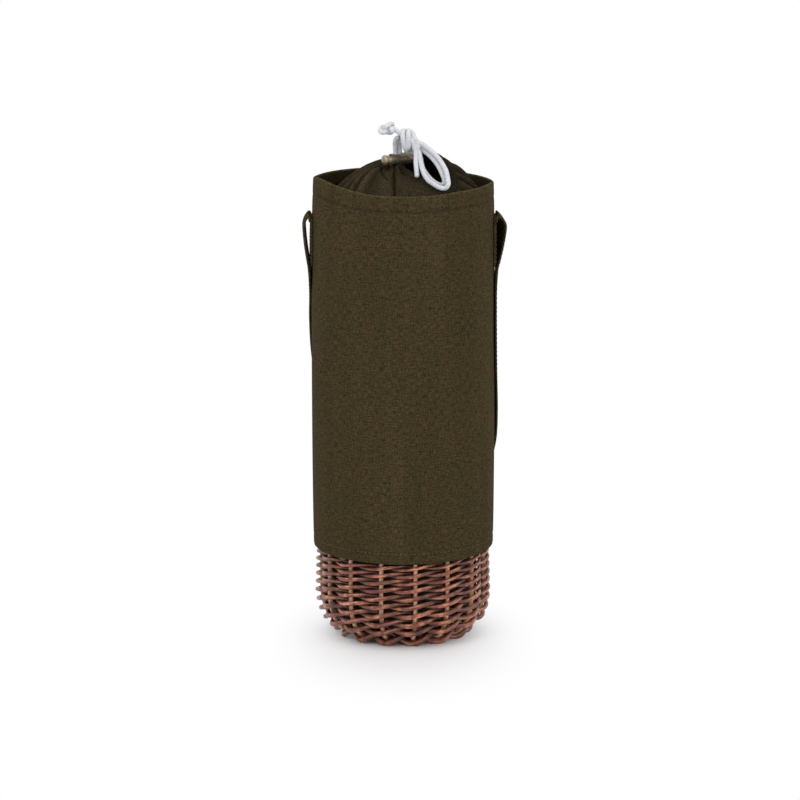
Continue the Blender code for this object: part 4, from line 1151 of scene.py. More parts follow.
@dataclass
class CarryStrap:
    """The strap of folded canvas: sewn ends, the fold above them and the loop behind the body."""

    width: float = 0.0250
    thickness: float = 0.0014
    fold_height: float = 0.3305
    fold_radius: float = 0.0015
    hang: float = 0.2235
    end_top: float = 0.3283
    end_bottom: float = 0.2905
    gap: float = 0.0003
    fold: tuple = (
        (0.0001, 0.0008), (0.0010, 0.0000), (0.0023, 0.0012), (0.0036, 0.0038), (0.0043, 0.0075),
        (0.0040, 0.0150), (0.0030, 0.0250), (0.0015, 0.0350), (0.0000, 0.0440),
    )
    right_bulge: float = 0.0004
    right_turn: float = 0.66
    free_below: float = 0.03
    box_inset: float = 0.0022
    smoothing: int = 3
    weave: tuple = (
        (-1.0, -0.35), (-0.97, -0.1), (-0.86, 0.0), (-0.8, -0.12), (-0.5, 0.05), (0.0, 0.1), (0.5, 0.05),
        (0.8, -0.12), (0.86, 0.0), (0.97, -0.1), (1.0, -0.35),
    )
    stitched: tuple = (2, 8)
    shares: tuple = (
        (0, 0.30, 0.0), (0, 0.42, 0.0), (3, 0.55, 0.0), (9, 0.68, 0.2), (20, 0.80, 0.6), (36, 0.91, 1),
        (56, 0.98, 1), (78, 1.0, 1), (100, 0.955, 1), (120, 0.86, 1), (136, 0.74, 1), (148, 0.61, 0.9),
        (157, 0.49, 0.6), (164, 0.385, 0.3), (171, 0.29, 0.15),
    )

    def side(self, sleeve: CanvasSleeve) -> tuple[list, float]:
        """The leg beside a sewn end, from the fold's inner edge up over the fold and down.

        Args:
            sleeve: The sleeve that it hangs on.

        Returns:
            Its points as (distance from the axis, height), and the distance of its inner edge from the axis.
        """
        seat = sleeve.radius_at(self.end_top) + self.gap + self.thickness
        inner = seat + self.gap + self.thickness / 2
        top = self.fold_height - self.thickness / 2
        points = [(inner - self.gap, self.end_top - 2 * self.fold_radius), (inner - self.gap, top - 0.0030)]
        points += [(inner + reach, top - drop) for reach, drop in self.fold]
        return points, inner

    def centre_line(self, sleeve: CanvasSleeve) -> list[Vector]:
        """The middle of the strap from its right fold, round behind the body, to its left fold."""
        side, beside = self.side(sleeve)
        route = []
        for reach, height in side:
            bulge = self.right_bulge * bump(self.fold_height - height - 0.009, 0.008)
            route.append(Vector((reach + bulge, 0, height)))
        for degrees, share, clear in self.shares:
            turn = math.radians(degrees)
            height = self.fold_height - self.hang * share
            hug = mix(sleeve.radius_at(height) + self.gap + self.thickness / 2, beside, clear)
            route.append(Vector((hug * math.cos(turn), hug * math.sin(turn), height)))
        route += [Vector((-reach, 0, height)) for reach, height in reversed(side)]
        return smooth_line(route, 6)

    def along(self, line: list[Vector], i: int) -> Vector:
        """The way from the point before a point of the strap's line to the one after it."""
        return line[min(i + 1, len(line) - 1)] - line[max(i - 1, 0)]

    def across(self, line: list[Vector], i: int) -> Vector:
        """The direction across the strap at a point of its line."""
        if line[i].z > self.end_bottom - self.width / 4:
            return Vector((0, -1, 0))
        radial = Vector((line[i].x, line[i].y, 0)).normalized()
        return self.along(line, i).cross(radial).normalized()

    def loop(self, sleeve: CanvasSleeve, canvas: bpy.types.Material, stitching: Stitching) -> None:
        """Make the hanging strap with its edges folded in and stitched.

        Args:
            sleeve: The sleeve that it hangs on.
            canvas: The canvas.
            stitching: The thread and its stitch.
        """
        line = self.centre_line(sleeve)
        _, beside = self.side(sleeve)
        crosses = [self.across(line, i) for i in range(len(line))]
        rows, edges = [], [[], []]
        for i, spot in enumerate(line):
            near = crosses[max(0, i - self.smoothing):i + self.smoothing + 1]
            smooth = sum(near, Vector()).normalized()
            face = smooth.cross(self.along(line, i).normalized())
            bend = 0.0004 * wobble(i * 0.03, 4.0)
            row = []
            curved = clamp((spot.z - self.end_bottom + self.free_below) / self.free_below)
            for place, lift in self.weave:
                ruffle = 0.00025 * wobble(i * 0.11, place * 1.5, 7.0) * (1 - curved)
                sag = curved * (place * self.width / 2) ** 2 / (2 * sleeve.rim_radius)
                turned = self.right_turn * (place - 0.12) * max(0.0, spot.x - beside) * curved
                inward = Vector((turned - math.copysign(sag, spot.x), 0, 0))
                out = face * (lift * 0.0004 + bend * place * (1 - curved) + ruffle)
                row.append(spot + smooth * place * self.width / 2 + out + inward)
            rows.append(row)
            for edge, place in zip(edges, self.stitched):
                edge.append((row[place], face))
        lengths = lengths_along([row[len(row) // 2] for row in rows])
        us = [self.width / 2 * (1 + place) for place, _ in self.weave]
        item = sheet_mesh("strap_loop", rows, us, lengths)
        thicken(item, self.thickness)
        dress(item, canvas, Body.STRAP, ("carry_strap",))
        out = self.thickness / 2 - 0.00004
        lines = [
            [spot + face * out * sign for spot, face in edge[8:-8]] for edge in edges for sign in (1, -1)
        ]
        stitching.sew("strap_stitches", lines, Body.STRAP)

    def tab_point(self, sleeve: CanvasSleeve, side: int, across: float, height: float,
                  stand: float) -> Vector:
        """A point of a sewn end by its side, its place across, its height and how far it stands off."""
        radius = sleeve.radius_at(height) + self.gap + self.thickness / 2 + stand
        turn = across / radius
        return Vector((side * radius * math.cos(turn), side * radius * math.sin(turn), height))

    def ends(self, sleeve: CanvasSleeve, canvas: bpy.types.Material, stitching: Stitching) -> None:
        """Sew the strap's two ends flat on the sleeve with a box and a cross of stitches.

        Args:
            sleeve: The sleeve that they are sewn to.
            canvas: The canvas.
            stitching: The thread and its stitch.
        """
        half = self.width / 2
        lines = []
        heights = [mix(self.end_bottom, self.end_top, i / 20) for i in range(21)]
        columns = [mix(-half, half, i / 16) for i in range(17)]
        for name, node, side in (
            ("strap_end_tab_right", "strap_end_right", 1),
            ("strap_end_tab_left", "strap_end_left", -1),
        ):
            rows = []
            for z in heights:
                row = []
                for x in columns:
                    edge = min(1.0, (half - abs(x)) / 0.0012, (z - self.end_bottom) / 0.0012 + 0.1)
                    seam = bump(half - abs(x) - 0.0018, 0.0008)
                    stand = 0.0002 * edge - 0.0002 * seam + 0.0001 * wobble(x * 300, z * 300)
                    row.append(self.tab_point(sleeve, side, x, z, stand))
                rows.append(row)
            item = sheet_mesh(name, rows, [x + 0.3 for x in columns], heights)
            thicken(item, self.thickness * 0.95)
            dress(item, canvas, Body.BASKET, (node,))
            low, high = self.end_bottom + self.box_inset, self.end_top - self.box_inset
            edge = half - 0.002
            out = self.thickness / 2 + 0.0002
            box = [(-edge, low), (edge, low), (edge, high), (-edge, high), (-edge, low)]
            cross = [[(-edge, low), (edge, high)], [(edge, low), (-edge, high)]]
            for corners in [box, *cross]:
                for (x0, z0), (x1, z1) in zip(corners, corners[1:]):
                    line = [
                        self.tab_point(sleeve, side, mix(x0, x1, i / 12), mix(z0, z1, i / 12), out)
                        for i in range(13)
                    ]
                    lines.append(line)
        stitching.sew("strap_end_stitches", lines, Body.BASKET)


# ---------------------------------------------------------------------------
# Collar and what lies inside
# ---------------------------------------------------------------------------


@dataclass
class Collar:
    """The gathered collar: up from its seam inside the rim and rolled over the drawcord."""

    seam_height: float = 0.3430
    seam_radius: float = 0.0674
    reach: float = 0.0680
    rise: float = 0.0320
    bulge: float = 0.0065
    thickness: float = 0.0009
    roll_radius: float = 0.0029
    first_roll: float = math.radians(-20)
    last_roll: float = math.radians(205)
    columns: int = 420
    climbs: int = 34
    roll_steps: int = 13
    mouth: tuple = (
        (-5.2, -0.053, -0.265, 0.731), (4, 0.020, -0.325, 0.71), (12, 0.090, -0.425, 0.66),
        (20, 0.220, -0.585, 0.57), (28, 0.350, -0.705, 0.45), (36, 0.450, -0.760, 0.37),
        (48, 0.525, -0.690, 0.385), (62, 0.550, -0.560, 0.48), (78, 0.535, -0.400, 0.63),
        (95, 0.485, -0.225, 0.79), (112, 0.410, -0.075, 0.93), (130, 0.315, 0.030, 1.0),
        (150, 0.220, 0.075, 1.0), (175, 0.118, 0.088, 0.985), (205, 0.015, 0.060, 0.955),
        (235, -0.075, 0.010, 0.95), (265, -0.140, -0.050, 0.935), (295, -0.172, -0.118, 0.875),
        (325, -0.160, -0.182, 0.79), (340, -0.146, -0.221, 0.75), (353.2, -0.112, -0.256, 0.73),
    )
    ends: tuple = ((0.0, 0.12), (0.007, 0.14), (0.012, 0.32), (0.017, 0.55), (0.022, 0.78), (0.027, 1.0))
    ridges: tuple = (
        (346, 6, 1.1), (324, 5, 3.6), (312, 4.5, 3.2), (299, 5, 3.6), (274, 8, 3.0), (248, 8, 3.2),
        (222, 9, 3.2), (198, 10, 3.0), (172, 9, 3.4), (148, 9, 3.0), (126, 8, 3.2), (106, 6, 3.4),
        (88, 5.5, 3.2), (70, 5.5, 3.2), (52, 5, 2.2),
    )
    shelves: tuple = (
        (0, 0.0, 1.15), (40, 0.02, 1.1), (60, 0.12, 1.3), (80, 0.25, 1.5), (110, 0.28, 1.5),
        (150, 0.14, 1.3), (190, 0.08, 1.2), (225, 0.18, 1.35), (250, 0.25, 1.4), (290, 0.22, 1.5),
        (310, 0.13, 1.8), (326, 0.04, 1.3), (340, 0.0, 1.15), (360, 0.0, 1.15),
    )
    crease: tuple = ((314, 0.93), (330, 0.84), (341, 0.70), (348, 0.54))
    lip: float = 0.0060
    left_lip: float = 0.28
    left_lip_share: float = 0.0026
    shelf_rise: float = 0.05
    seam_steps: int = 14
    turn_in: int = 6
    casing_row: int = 3

    def stations(self, count: int) -> list[tuple[float, Vector, Vector, float]]:
        """Even steps round the mouth.

        Args:
            count: How many steps.

        Returns:
            For each: the seam's angle, the middle of the hem, the way along it and its share of the way.
        """
        angles = [p.x for p in smooth_line([Vector((math.radians(a), 0, 0)) for a, *_ in self.mouth], 12)]
        places = [Vector((x * self.reach, y * self.reach, self.seam_height + up * self.rise))
                  for _, x, y, up in self.mouth]
        middles = smooth_line(places, 12)
        lengths = [0.0]
        for a, b, first, second in zip(middles, middles[1:], angles, angles[1:]):
            lengths.append(lengths[-1] + (b - a).length + self.seam_radius / 3 * (second - first))
        table = np.array([p[:] for p in middles])
        step = lengths[-1] * 0.004
        found = []
        for i in range(count + 1):
            at = lengths[-1] * i / count
            behind, spot, ahead = (
                Vector([float(np.interp(place, lengths, table[:, axis])) for axis in range(3)])
                for place in (at - step, at, at + step)
            )
            angle = float(np.interp(at, lengths, angles))
            found.append((angle, spot, (ahead - behind).normalized(), i / count))
        return found

    def cover(self, share: float) -> float:
        """How much of the roll closes over the cord at a share of the way round."""
        return read_table(self.ends, min(share, 1 - share))

    def gathers(self, angle: float, climb: float) -> float:
        """How far the cloth stands up in its folds at a place of the collar.

        Args:
            angle: The angle of the seam below the place.
            climb: The share of the way from the seam to the hem.

        Returns:
            The height of the fold, in metres.
        """
        degrees = math.degrees(angle) % 360
        drift = 5 * wobble(climb * 2.2, degrees / 60, 1.0) * climb
        height = 0.0
        for centre, width, rise in self.ridges:
            away = abs((degrees + drift - centre + 180) % 360 - 180) / width
            height += rise * (math.exp(-away * away) - 0.55 * bump(away - 1.35, 0.5))
        envelope = math.sin(math.pi * min(1.0, climb * 0.92 + 0.06)) ** 0.9
        smooth_panel = 1.0 if 50 < degrees < 352 else 0.25
        fine = 0.30 * math.sin(degrees * 0.62 + 3 * wobble(degrees / 20, 2.0)) * climb**1.5
        fine += 0.22 * wobble(degrees / 3.2, climb * 2.0, 5.0) * (0.4 + climb)
        crumple = 0.45 * wobble(degrees / 13, climb * 3.4, 8.0)
        return 0.001 * (height * envelope * 0.82 + (fine + crumple) * smooth_panel)

    def level(self, angle: float, climb: float) -> tuple[float, float]:
        """The share of the rise at a place, after a low shelf inside the rim, and how wide the shelf is."""
        start, power = (read_table(self.shelves, math.degrees(angle) % 360, column) for column in (1, 2))
        if climb < start:
            return self.shelf_rise * climb / start, start
        low = self.shelf_rise * min(1, start / self.shelf_rise)
        return low + (1 - low) * (1 - (1 - (climb - start) / (1 - start)) ** power), start

    def creased(self, angle: float, climb: float) -> float:
        """How near a place is to the crease that curls towards the front seam, from 0 to 1."""
        degrees = math.degrees(angle) % 360
        nearest = 1.0
        for (d0, c0), (d1, c1) in zip(self.crease, self.crease[1:]):
            for i in range(9):
                away = (degrees - mix(d0, d1, i / 8)) * 1.1 * mix(1.0, 0.3, climb)
                nearest = min(nearest, math.hypot(away, (climb - mix(c0, c1, i / 8)) * 48) / 4)
        return bump(nearest * 4, 1.1) if nearest < 1 else 0.0

    def depth(self, angle: float, climb: float) -> float:
        """How light the cloth is painted at a place: painted shade in valleys, in the hollow inside the rim,
        along the crease, at the front seam, over the right side and a little at the left back, and painted
        highlights on its ridges.
        """
        degrees = math.degrees(angle) % 360
        _, start = self.level(angle, climb)
        value = 0.70 + 95 * self.gathers(angle, climb)
        value -= 0.50 * min(1, start * 6) * bump(climb, start + 0.08)
        value -= 0.27 * bump(degrees - 92, 40)
        value -= 0.09 * bump(degrees - 285, 45)
        value -= 0.55 * self.creased(angle, climb)
        value -= 0.50 * bump((degrees + 5.2 + 180) % 360 - 180, 0.55)
        return clamp(value)

    def column(self, angle: float, middle: Vector, along: Vector, share: float) -> list[Vector]:
        """The points of the cloth from the seam up to the hem and round its roll."""
        seam = around(self.seam_radius, angle, self.seam_height)
        span = (seam - middle).length
        out = seam - middle
        out.z = 0
        out = (out - along * out.dot(along)).normalized()
        raised = out.cross(along)
        raised = raised if raised.z > 0 else -raised
        start_way = out * math.cos(self.first_roll) + raised * math.sin(self.first_roll)
        edge = middle + start_way * self.roll_radius
        face = (UP * 0.85 + Vector((seam.x, seam.y, 0)).normalized() * 0.4).normalized()
        cover = self.cover(share)
        lip = self.lip * (1 - cover)
        if share > 0.5:
            lip *= mix(self.left_lip, 1.0, bump(1 - share, self.left_lip_share))
        points = []
        for i in range(self.climbs):
            climb = i / self.climbs
            level, start = self.level(angle, climb)
            bulge = self.bulge * max(0.1, 1 - start * 6)
            swell = bulge * math.sin(math.pi * climb**0.7) * min(1, span / self.seam_radius * 1.2)
            reach = min(1.0, span / 0.03)
            casing = -0.0007 * bump((1 - climb) * span - 0.0016, 0.0012)
            fold = self.gathers(angle, climb) * reach - 0.0009 * self.creased(angle, climb)
            spot = seam.lerp(edge, climb)
            rolled = max(0.0, (climb - 0.55) / 0.45)
            spot.z = mix(seam.z, edge.z, level) + lip * rolled * rolled * (3 - 2 * rolled)
            points.append(spot + UP * swell + face * (fold + casing))
        pucker = 1 + 0.05 * wobble(share * 160, 3.0) + 0.04 * wobble(share * 60, 9.0)
        end = mix(self.first_roll, self.last_roll, cover)
        for i in range(self.roll_steps):
            turn = mix(self.first_roll, end, i / (self.roll_steps - 1))
            rolled = (out * math.cos(turn) + raised * math.sin(turn)) * self.roll_radius * pucker
            points.append(middle + rolled + UP * lip)
        return points

    def build(self, canvas: bpy.types.Material, stitching: Stitching) -> None:
        """Make the collar, close its front seam and sew the casing below the roll.

        Args:
            canvas: The collar's cloth.
            stitching: The thread and its stitch.
        """
        steps = self.stations(self.columns)
        columns = [self.column(*station) for station in steps]
        first, last = columns[0], columns[-1]
        joint = [(a + b) / 2 for a, b in zip(first, last)]
        for end, order in ((first, columns), (last, columns[::-1])):
            for step, column in enumerate(order[:self.seam_steps]):
                for i in range(len(column)):
                    closes = 1.0 if i < self.climbs else 0.9
                    pull = bump(step, 4.0) * closes
                    inward = -0.0011 * bump(step, 1.6) * closes
                    near = (joint[i] - end[i]) * pull
                    column[i] = column[i] + near * 0.97 + UP * inward
        rows = [[column[i] for column in columns] for i in range(len(first))]
        item = sheet_mesh("collar_cloth", rows, [0.0] * len(columns), [0.0] * len(rows))
        uvs = []
        lengths = [0.0] * len(columns)
        for i, row in enumerate(rows):
            for k, spot in enumerate(row):
                if i:
                    lengths[k] += (spot - rows[i - 1][k]).length
                uvs.append((steps[k][0] * self.seam_radius, lengths[k]))
        layer = item.data.uv_layers[0].data
        for loop in item.data.loops:
            layer[loop.index].uv = uvs[loop.vertex_index]
        # Painted light and shade for the collar, from depth(), with painted shade deepening round the roll.
        values = []
        for i in range(len(rows)):
            for angle, *_ in steps:
                rolled = max(0, i - self.climbs) / self.roll_steps
                values.append(self.depth(angle, min(1, i / self.climbs)) - 0.35 * rolled)
        keep_values(item, "depth", values)
        thicken(item, self.thickness)
        # The inner shell gets a strong painted light, fading in away from the front seam's ends and the roll.
        layer = item.data.attributes["depth"].data
        for corner in range(len(values), len(layer)):
            row, step = divmod(corner - len(values), len(steps))
            inside = clamp(min(step, len(steps) - 1 - step, self.climbs - row) / self.turn_in)
            value = layer[corner].value
            layer[corner].value = mix(value, 1.2 + 0.8 * value, inside)
        dress(item, canvas, Body.BASKET, ("collar",))
        low = rows[self.climbs - self.casing_row][self.turn_in:-self.turn_in]
        stitching.sew("casing_stitches", [[spot + UP * 0.0005 for spot in low]], Body.BASKET)


@dataclass
class Lining:
    """The thin cloth bag inside, from its floor up to its flange under the collar's seam."""

    wall_radius: float = 0.0526
    flange_radius: float = 0.0666
    flange_height: float = 0.3417
    floor_height: float = 0.0170
    floor_radius: float = 0.0400
    thickness: float = 0.0005
    columns: int = 160

    def build(self, cloth: bpy.types.Material) -> None:
        """Loft the bag from the middle of its floor to its flange.

        Args:
            cloth: The lining's cloth.
        """
        profile = [(radius, self.floor_height) for radius in (0.0, 0.012, 0.026, self.floor_radius - 0.002)]
        profile += [(self.floor_radius, self.floor_height + 0.0006)]
        for i in range(1, 7):
            turn = math.pi / 2 * i / 6
            profile.append((mix(self.floor_radius, self.wall_radius, math.sin(turn)),
                            self.floor_height + 0.0006 + 0.030 * (1 - math.cos(turn))))
        profile += [(self.wall_radius, mix(0.052, self.flange_height - 0.003, i / 22)) for i in range(23)]
        profile += [(self.wall_radius + 0.0002, self.flange_height - 0.0008)]
        profile += [(self.wall_radius + 0.001, self.flange_height)]
        profile += [
            (mix(self.wall_radius + 0.002, self.flange_radius, i / 4), self.flange_height) for i in range(5)
        ]
        rows, lengths = [], [0.0]
        for i, (radius, height) in enumerate(profile):
            row = []
            for angle in full_turn(self.columns):
                upright = 0.06 < height < 0.335
                crease = 0.0009 * max(0.0, ring_noise(angle, 4, height * 7)) if upright else 0.0
                row.append(around(max(0.0, radius - crease), angle, height))
            rows.append(row)
            if i:
                lengths.append(lengths[-1] + math.dist(profile[i - 1], profile[i]))
        us = [self.wall_radius * math.tau * k / self.columns for k in range(self.columns + 1)]
        item = sheet_mesh("lining_bag", rows, us, lengths, closed=True)
        thicken(item, self.thickness)
        merge_doubles(item)
        dress(item, cloth, Body.BASKET, ("lining",))


@dataclass
class Padding:
    """The quilted wadding between the foam cup and the canvas."""

    inner_radius: float = 0.0576
    outer_radius: float = 0.0671
    bottom: float = 0.0800
    top: float = 0.3405
    channels: int = 12
    columns: int = 120

    def build(self, wadding: bpy.types.Material) -> None:
        """Loft the wadding, drawn in at its quilting lines.

        Args:
            wadding: The wadding's cloth.
        """
        heights = [mix(self.bottom, self.top, i / 44) for i in range(45)]
        rows = []
        between = [mix(self.inner_radius, self.outer_radius, share) for share in (0.25, 0.75)]
        loop = [(self.inner_radius, z, 0.0) for z in reversed(heights)]
        loop += [(radius, self.bottom, 0.0) for radius in between]
        loop += [(self.outer_radius, z, 1.0) for z in heights]
        loop += [(radius, self.top, 0.0) for radius in reversed(between)]
        for radius, z, loose in loop:
            row = []
            for angle in full_turn(self.columns):
                seam = abs(math.sin(angle * self.channels / 2))
                edge = min(1.0, (z - self.bottom) / 0.006, (self.top - z) / 0.006)
                pinch = 0.0011 * bump(seam, 0.16) + 0.0016 * (1 - max(0.0, edge)) ** 2
                row.append(around(radius - pinch * loose, angle, z))
            rows.append(row)
        rows.append([p.copy() for p in rows[0]])
        us = [self.outer_radius * math.tau * k / self.columns for k in range(self.columns + 1)]
        item = sheet_mesh("padding_quilt", rows, us, [0.005 * i for i in range(len(rows))], closed=True)
        merge_doubles(item, outwards=True)
        dress(item, wadding, Body.BASKET, ("padding_sleeve",))


# ---------------------------------------------------------------------------
# Drawcord, its knots and the cord lock
# ---------------------------------------------------------------------------


def metres(*places: tuple) -> list[Vector]:
    """Places given in millimetres, as points in metres."""
    return [Vector(place) / 1000 for place in places]


@dataclass
class Drawcord:
    """The braided cord: its run in the hem, two loops, a free end and its knots."""

    radius: float = 0.00183
    spacing: float = 0.0007
    sides: int = 16
    steps: int = 8
    knot_swell: float = 1.1
    left_strand: tuple = (
        (-7.8, -16.6, 367.2), (-6.2, -16.2, 369.0), (-6.1, -16.0, 370.6), (-6.1, -16.0, 373.4),
        (-6.1, -16.0, 378.0), (-6.1, -16.0, 382.0), (-6.1, -16.0, 385.2), (-6.3, -16.4, 387.8),
        (-5.7, -17.0, 390.0), (-4.6, -17.6, 391.6), (-2.4, -18.4, 392.6),
    )
    right_strand: tuple = (
        (-1.7, -17.8, 366.7), (-2.6, -15.6, 368.1), (-2.7, -14.0, 370.8), (-2.7, -14.0, 373.4),
        (-2.7, -14.0, 378.0), (-2.7, -14.0, 382.0), (-2.7, -14.0, 385.2), (-2.5, -14.3, 387.3),
        (-2.0, -15.2, 389.0), (-0.4, -16.8, 390.4),
    )
    front_loop: tuple = (
        (8.6, -23.4, 390.2), (13.0, -24.9, 388.8), (16.6, -26.0, 386.8), (20.6, -28.0, 383.9),
        (25.7, -33.5, 379.8), (29.5, -40.0, 375.5), (32.4, -47.0, 370.9), (33.6, -51.5, 365.8),
        (33.9, -54.0, 362.2), (31.9, -54.5, 359.3), (28.0, -55.0, 359.6), (23.4, -51.5, 361.5),
        (18.7, -47.5, 364.3), (15.6, -42.5, 368.5), (13.9, -37.0, 373.4), (13.1, -31.9, 377.6),
        (12.4, -28.6, 380.8), (11.3, -26.8, 384.0), (10.3, -26.1, 386.6), (8.6, -24.6, 389.2),
    )
    back_loop: tuple = (
        (6.6, -18.6, 388.2), (9.6, -18.8, 386.1), (12.6, -22.0, 384.5), (19.3, -26.6, 380.3),
        (24.0, -32.3, 376.3), (27.4, -38.9, 372.2), (29.8, -43.6, 367.6), (31.2, -46.4, 363.4),
        (29.4, -46.4, 360.3), (25.2, -43.6, 360.9), (20.5, -40.2, 363.9), (17.2, -36.2, 367.4),
        (14.9, -32.3, 370.8), (13.6, -28.0, 374.8), (12.9, -24.8, 378.2), (10.9, -22.5, 380.3),
        (7.9, -21.2, 381.2), (5.6, -20.6, 383.4),
    )
    free_end: tuple = (
        (10.4, -41.0, 366.6), (10.3, -39.8, 368.2), (10.0, -37.6, 371.2), (9.7, -34.6, 374.6),
        (9.6, -31.8, 377.4), (9.7, -29.4, 380.0), (9.5, -27.6, 383.0), (8.6, -26.0, 386.0),
        (6.6, -24.0, 389.6), (3.0, -22.6, 392.6), (-0.4, -22.4, 394.6), (-3.2, -21.6, 396.4),
        (-6.2, -20.4, 398.6), (-8.4, -19.6, 400.2),
    )
    knot_wraps: tuple = (
        (0.2, -21.5, 398.0), (-0.3, -25.4, 394.6), (0.3, -26.4, 389.6), (1.5, -25.4, 385.2),
        (2.6, -22.0, 383.1), (2.6, -18.2, 386.5), (3.6, -17.2, 392.0), (4.1, -21.5, 398.2),
        (4.0, -25.8, 394.6), (3.9, -26.6, 389.8), (3.7, -25.6, 385.8), (3.2, -21.6, 383.8),
        (4.6, -17.8, 387.5), (5.6, -17.4, 392.5), (6.3, -20.6, 396.6), (8.5, -24.4, 392.8),
        (10.5, -25.4, 389.6), (11.6, -25.0, 386.8), (11.4, -22.0, 384.6), (8.8, -18.6, 387.3),
        (6.6, -17.8, 391.5), (5.6, -21.0, 394.0), (6.4, -24.9, 391.0), (7.8, -25.7, 387.7),
        (8.8, -25.3, 384.9), (8.2, -21.8, 383.6), (4.8, -18.2, 387.0), (1.6, -17.8, 393.0),
    )
    stopper_place: tuple = (-12.1, -19.4, 399.0)
    stopper_tilt: float = 0.22

    def run(self, name: str, line: list[Vector], braid: bpy.types.Material, nodes: tuple) -> None:
        """Args:
            name: The stretch's name.
            line: Its centre line.
            braid: The cord's material.
            nodes: The CAD nodes that it replaces.
        """
        points = even_line(line, self.spacing)
        item = tube(name, points, [self.radius] * len(points), self.sides)
        dress(item, braid, Body.BASKET, nodes)

    def knot(self, name: str, line: list[Vector], braid: bpy.types.Material, node: str) -> bpy.types.Object:
        """Sweep the closed line of a knot's turns, a little thicker than the cord."""
        item = tube(name, line, [self.radius * self.knot_swell] * len(line), self.sides, closed=True)
        return dress(item, braid, Body.BASKET, (node,))

    def wraps(self) -> list[Vector]:
        """The closed line of the main knot's turns, wrapped tight beside each other."""
        turns = metres(*self.knot_wraps)
        line = smooth_line([turns[-1], *turns, turns[0], turns[1]], self.steps)
        closed = line[self.steps:self.steps * (1 + len(turns)) + 1]
        return even_line(closed, self.spacing)[:-1]

    def trefoil(self, place: Vector, half: tuple, count: int) -> list[Vector]:
        """The centre line of a drawn overhand knot that lies along X and leans.

        Args:
            place: Its middle.
            half: Its half width, depth and height.
            count: Points round it.

        Returns:
            The points of the closed line.
        """
        points = []
        for t in full_turn(count):
            across = (math.sin(t) + 2 * math.sin(2 * t)) / 3
            along = (math.cos(t) - 2 * math.cos(2 * t)) / 3
            x = along * half[0]
            height = across * half[2] + x * self.stopper_tilt
            points.append(place + Vector((x, -math.sin(3 * t) * half[1], height)))
        return points

    def build(self, collar: Collar, braid: bpy.types.Material) -> None:
        """Args:
            collar: The collar whose hem holds the cord.
            braid: The cord's material.
        """
        steps = [station for station in collar.stations(300) if collar.cover(station[3]) >= 0.999]
        hem = [middle for _, middle, _, _ in steps]
        right = metres(*self.right_strand)[::-1]
        left = metres(*self.left_strand)
        leave_right = hem[0] + (hem[0] - hem[1]).normalized() * self.radius / 2
        leave_left = hem[-1] + (hem[-1] - hem[-2]).normalized() * self.radius / 2
        head = smooth_line([*right, leave_right, hem[0], hem[3]], self.steps)
        tail = smooth_line([hem[-4], hem[-1], leave_left, *left], self.steps)
        routes = (self.front_loop, self.back_loop, self.free_end)
        front, back, free = (smooth_line(metres(*route), self.steps) for route in routes)
        main_knot = self.knot("main_knot_wraps", self.wraps(), braid, "main_knot")
        stopper_line = self.trefoil(Vector(self.stopper_place) / 1000, (0.0052, 0.0026, 0.0036), 72)
        stopper = self.knot("stopper_knot_wraps", stopper_line, braid, "stopper_knot")
        self.run("drawcord_hem_run", head + hem[4:-4] + tail, braid,
                 ("cord_in_hem", "cord_strand_left", "cord_strand_right"))
        self.run("drawcord_loop_front", front, braid, ("cord_loop_front",))
        self.run("drawcord_loop_back", back, braid, ("cord_loop_back",))
        self.run("drawcord_free_end", free, braid, ("cord_free_end", "cord_tail"))


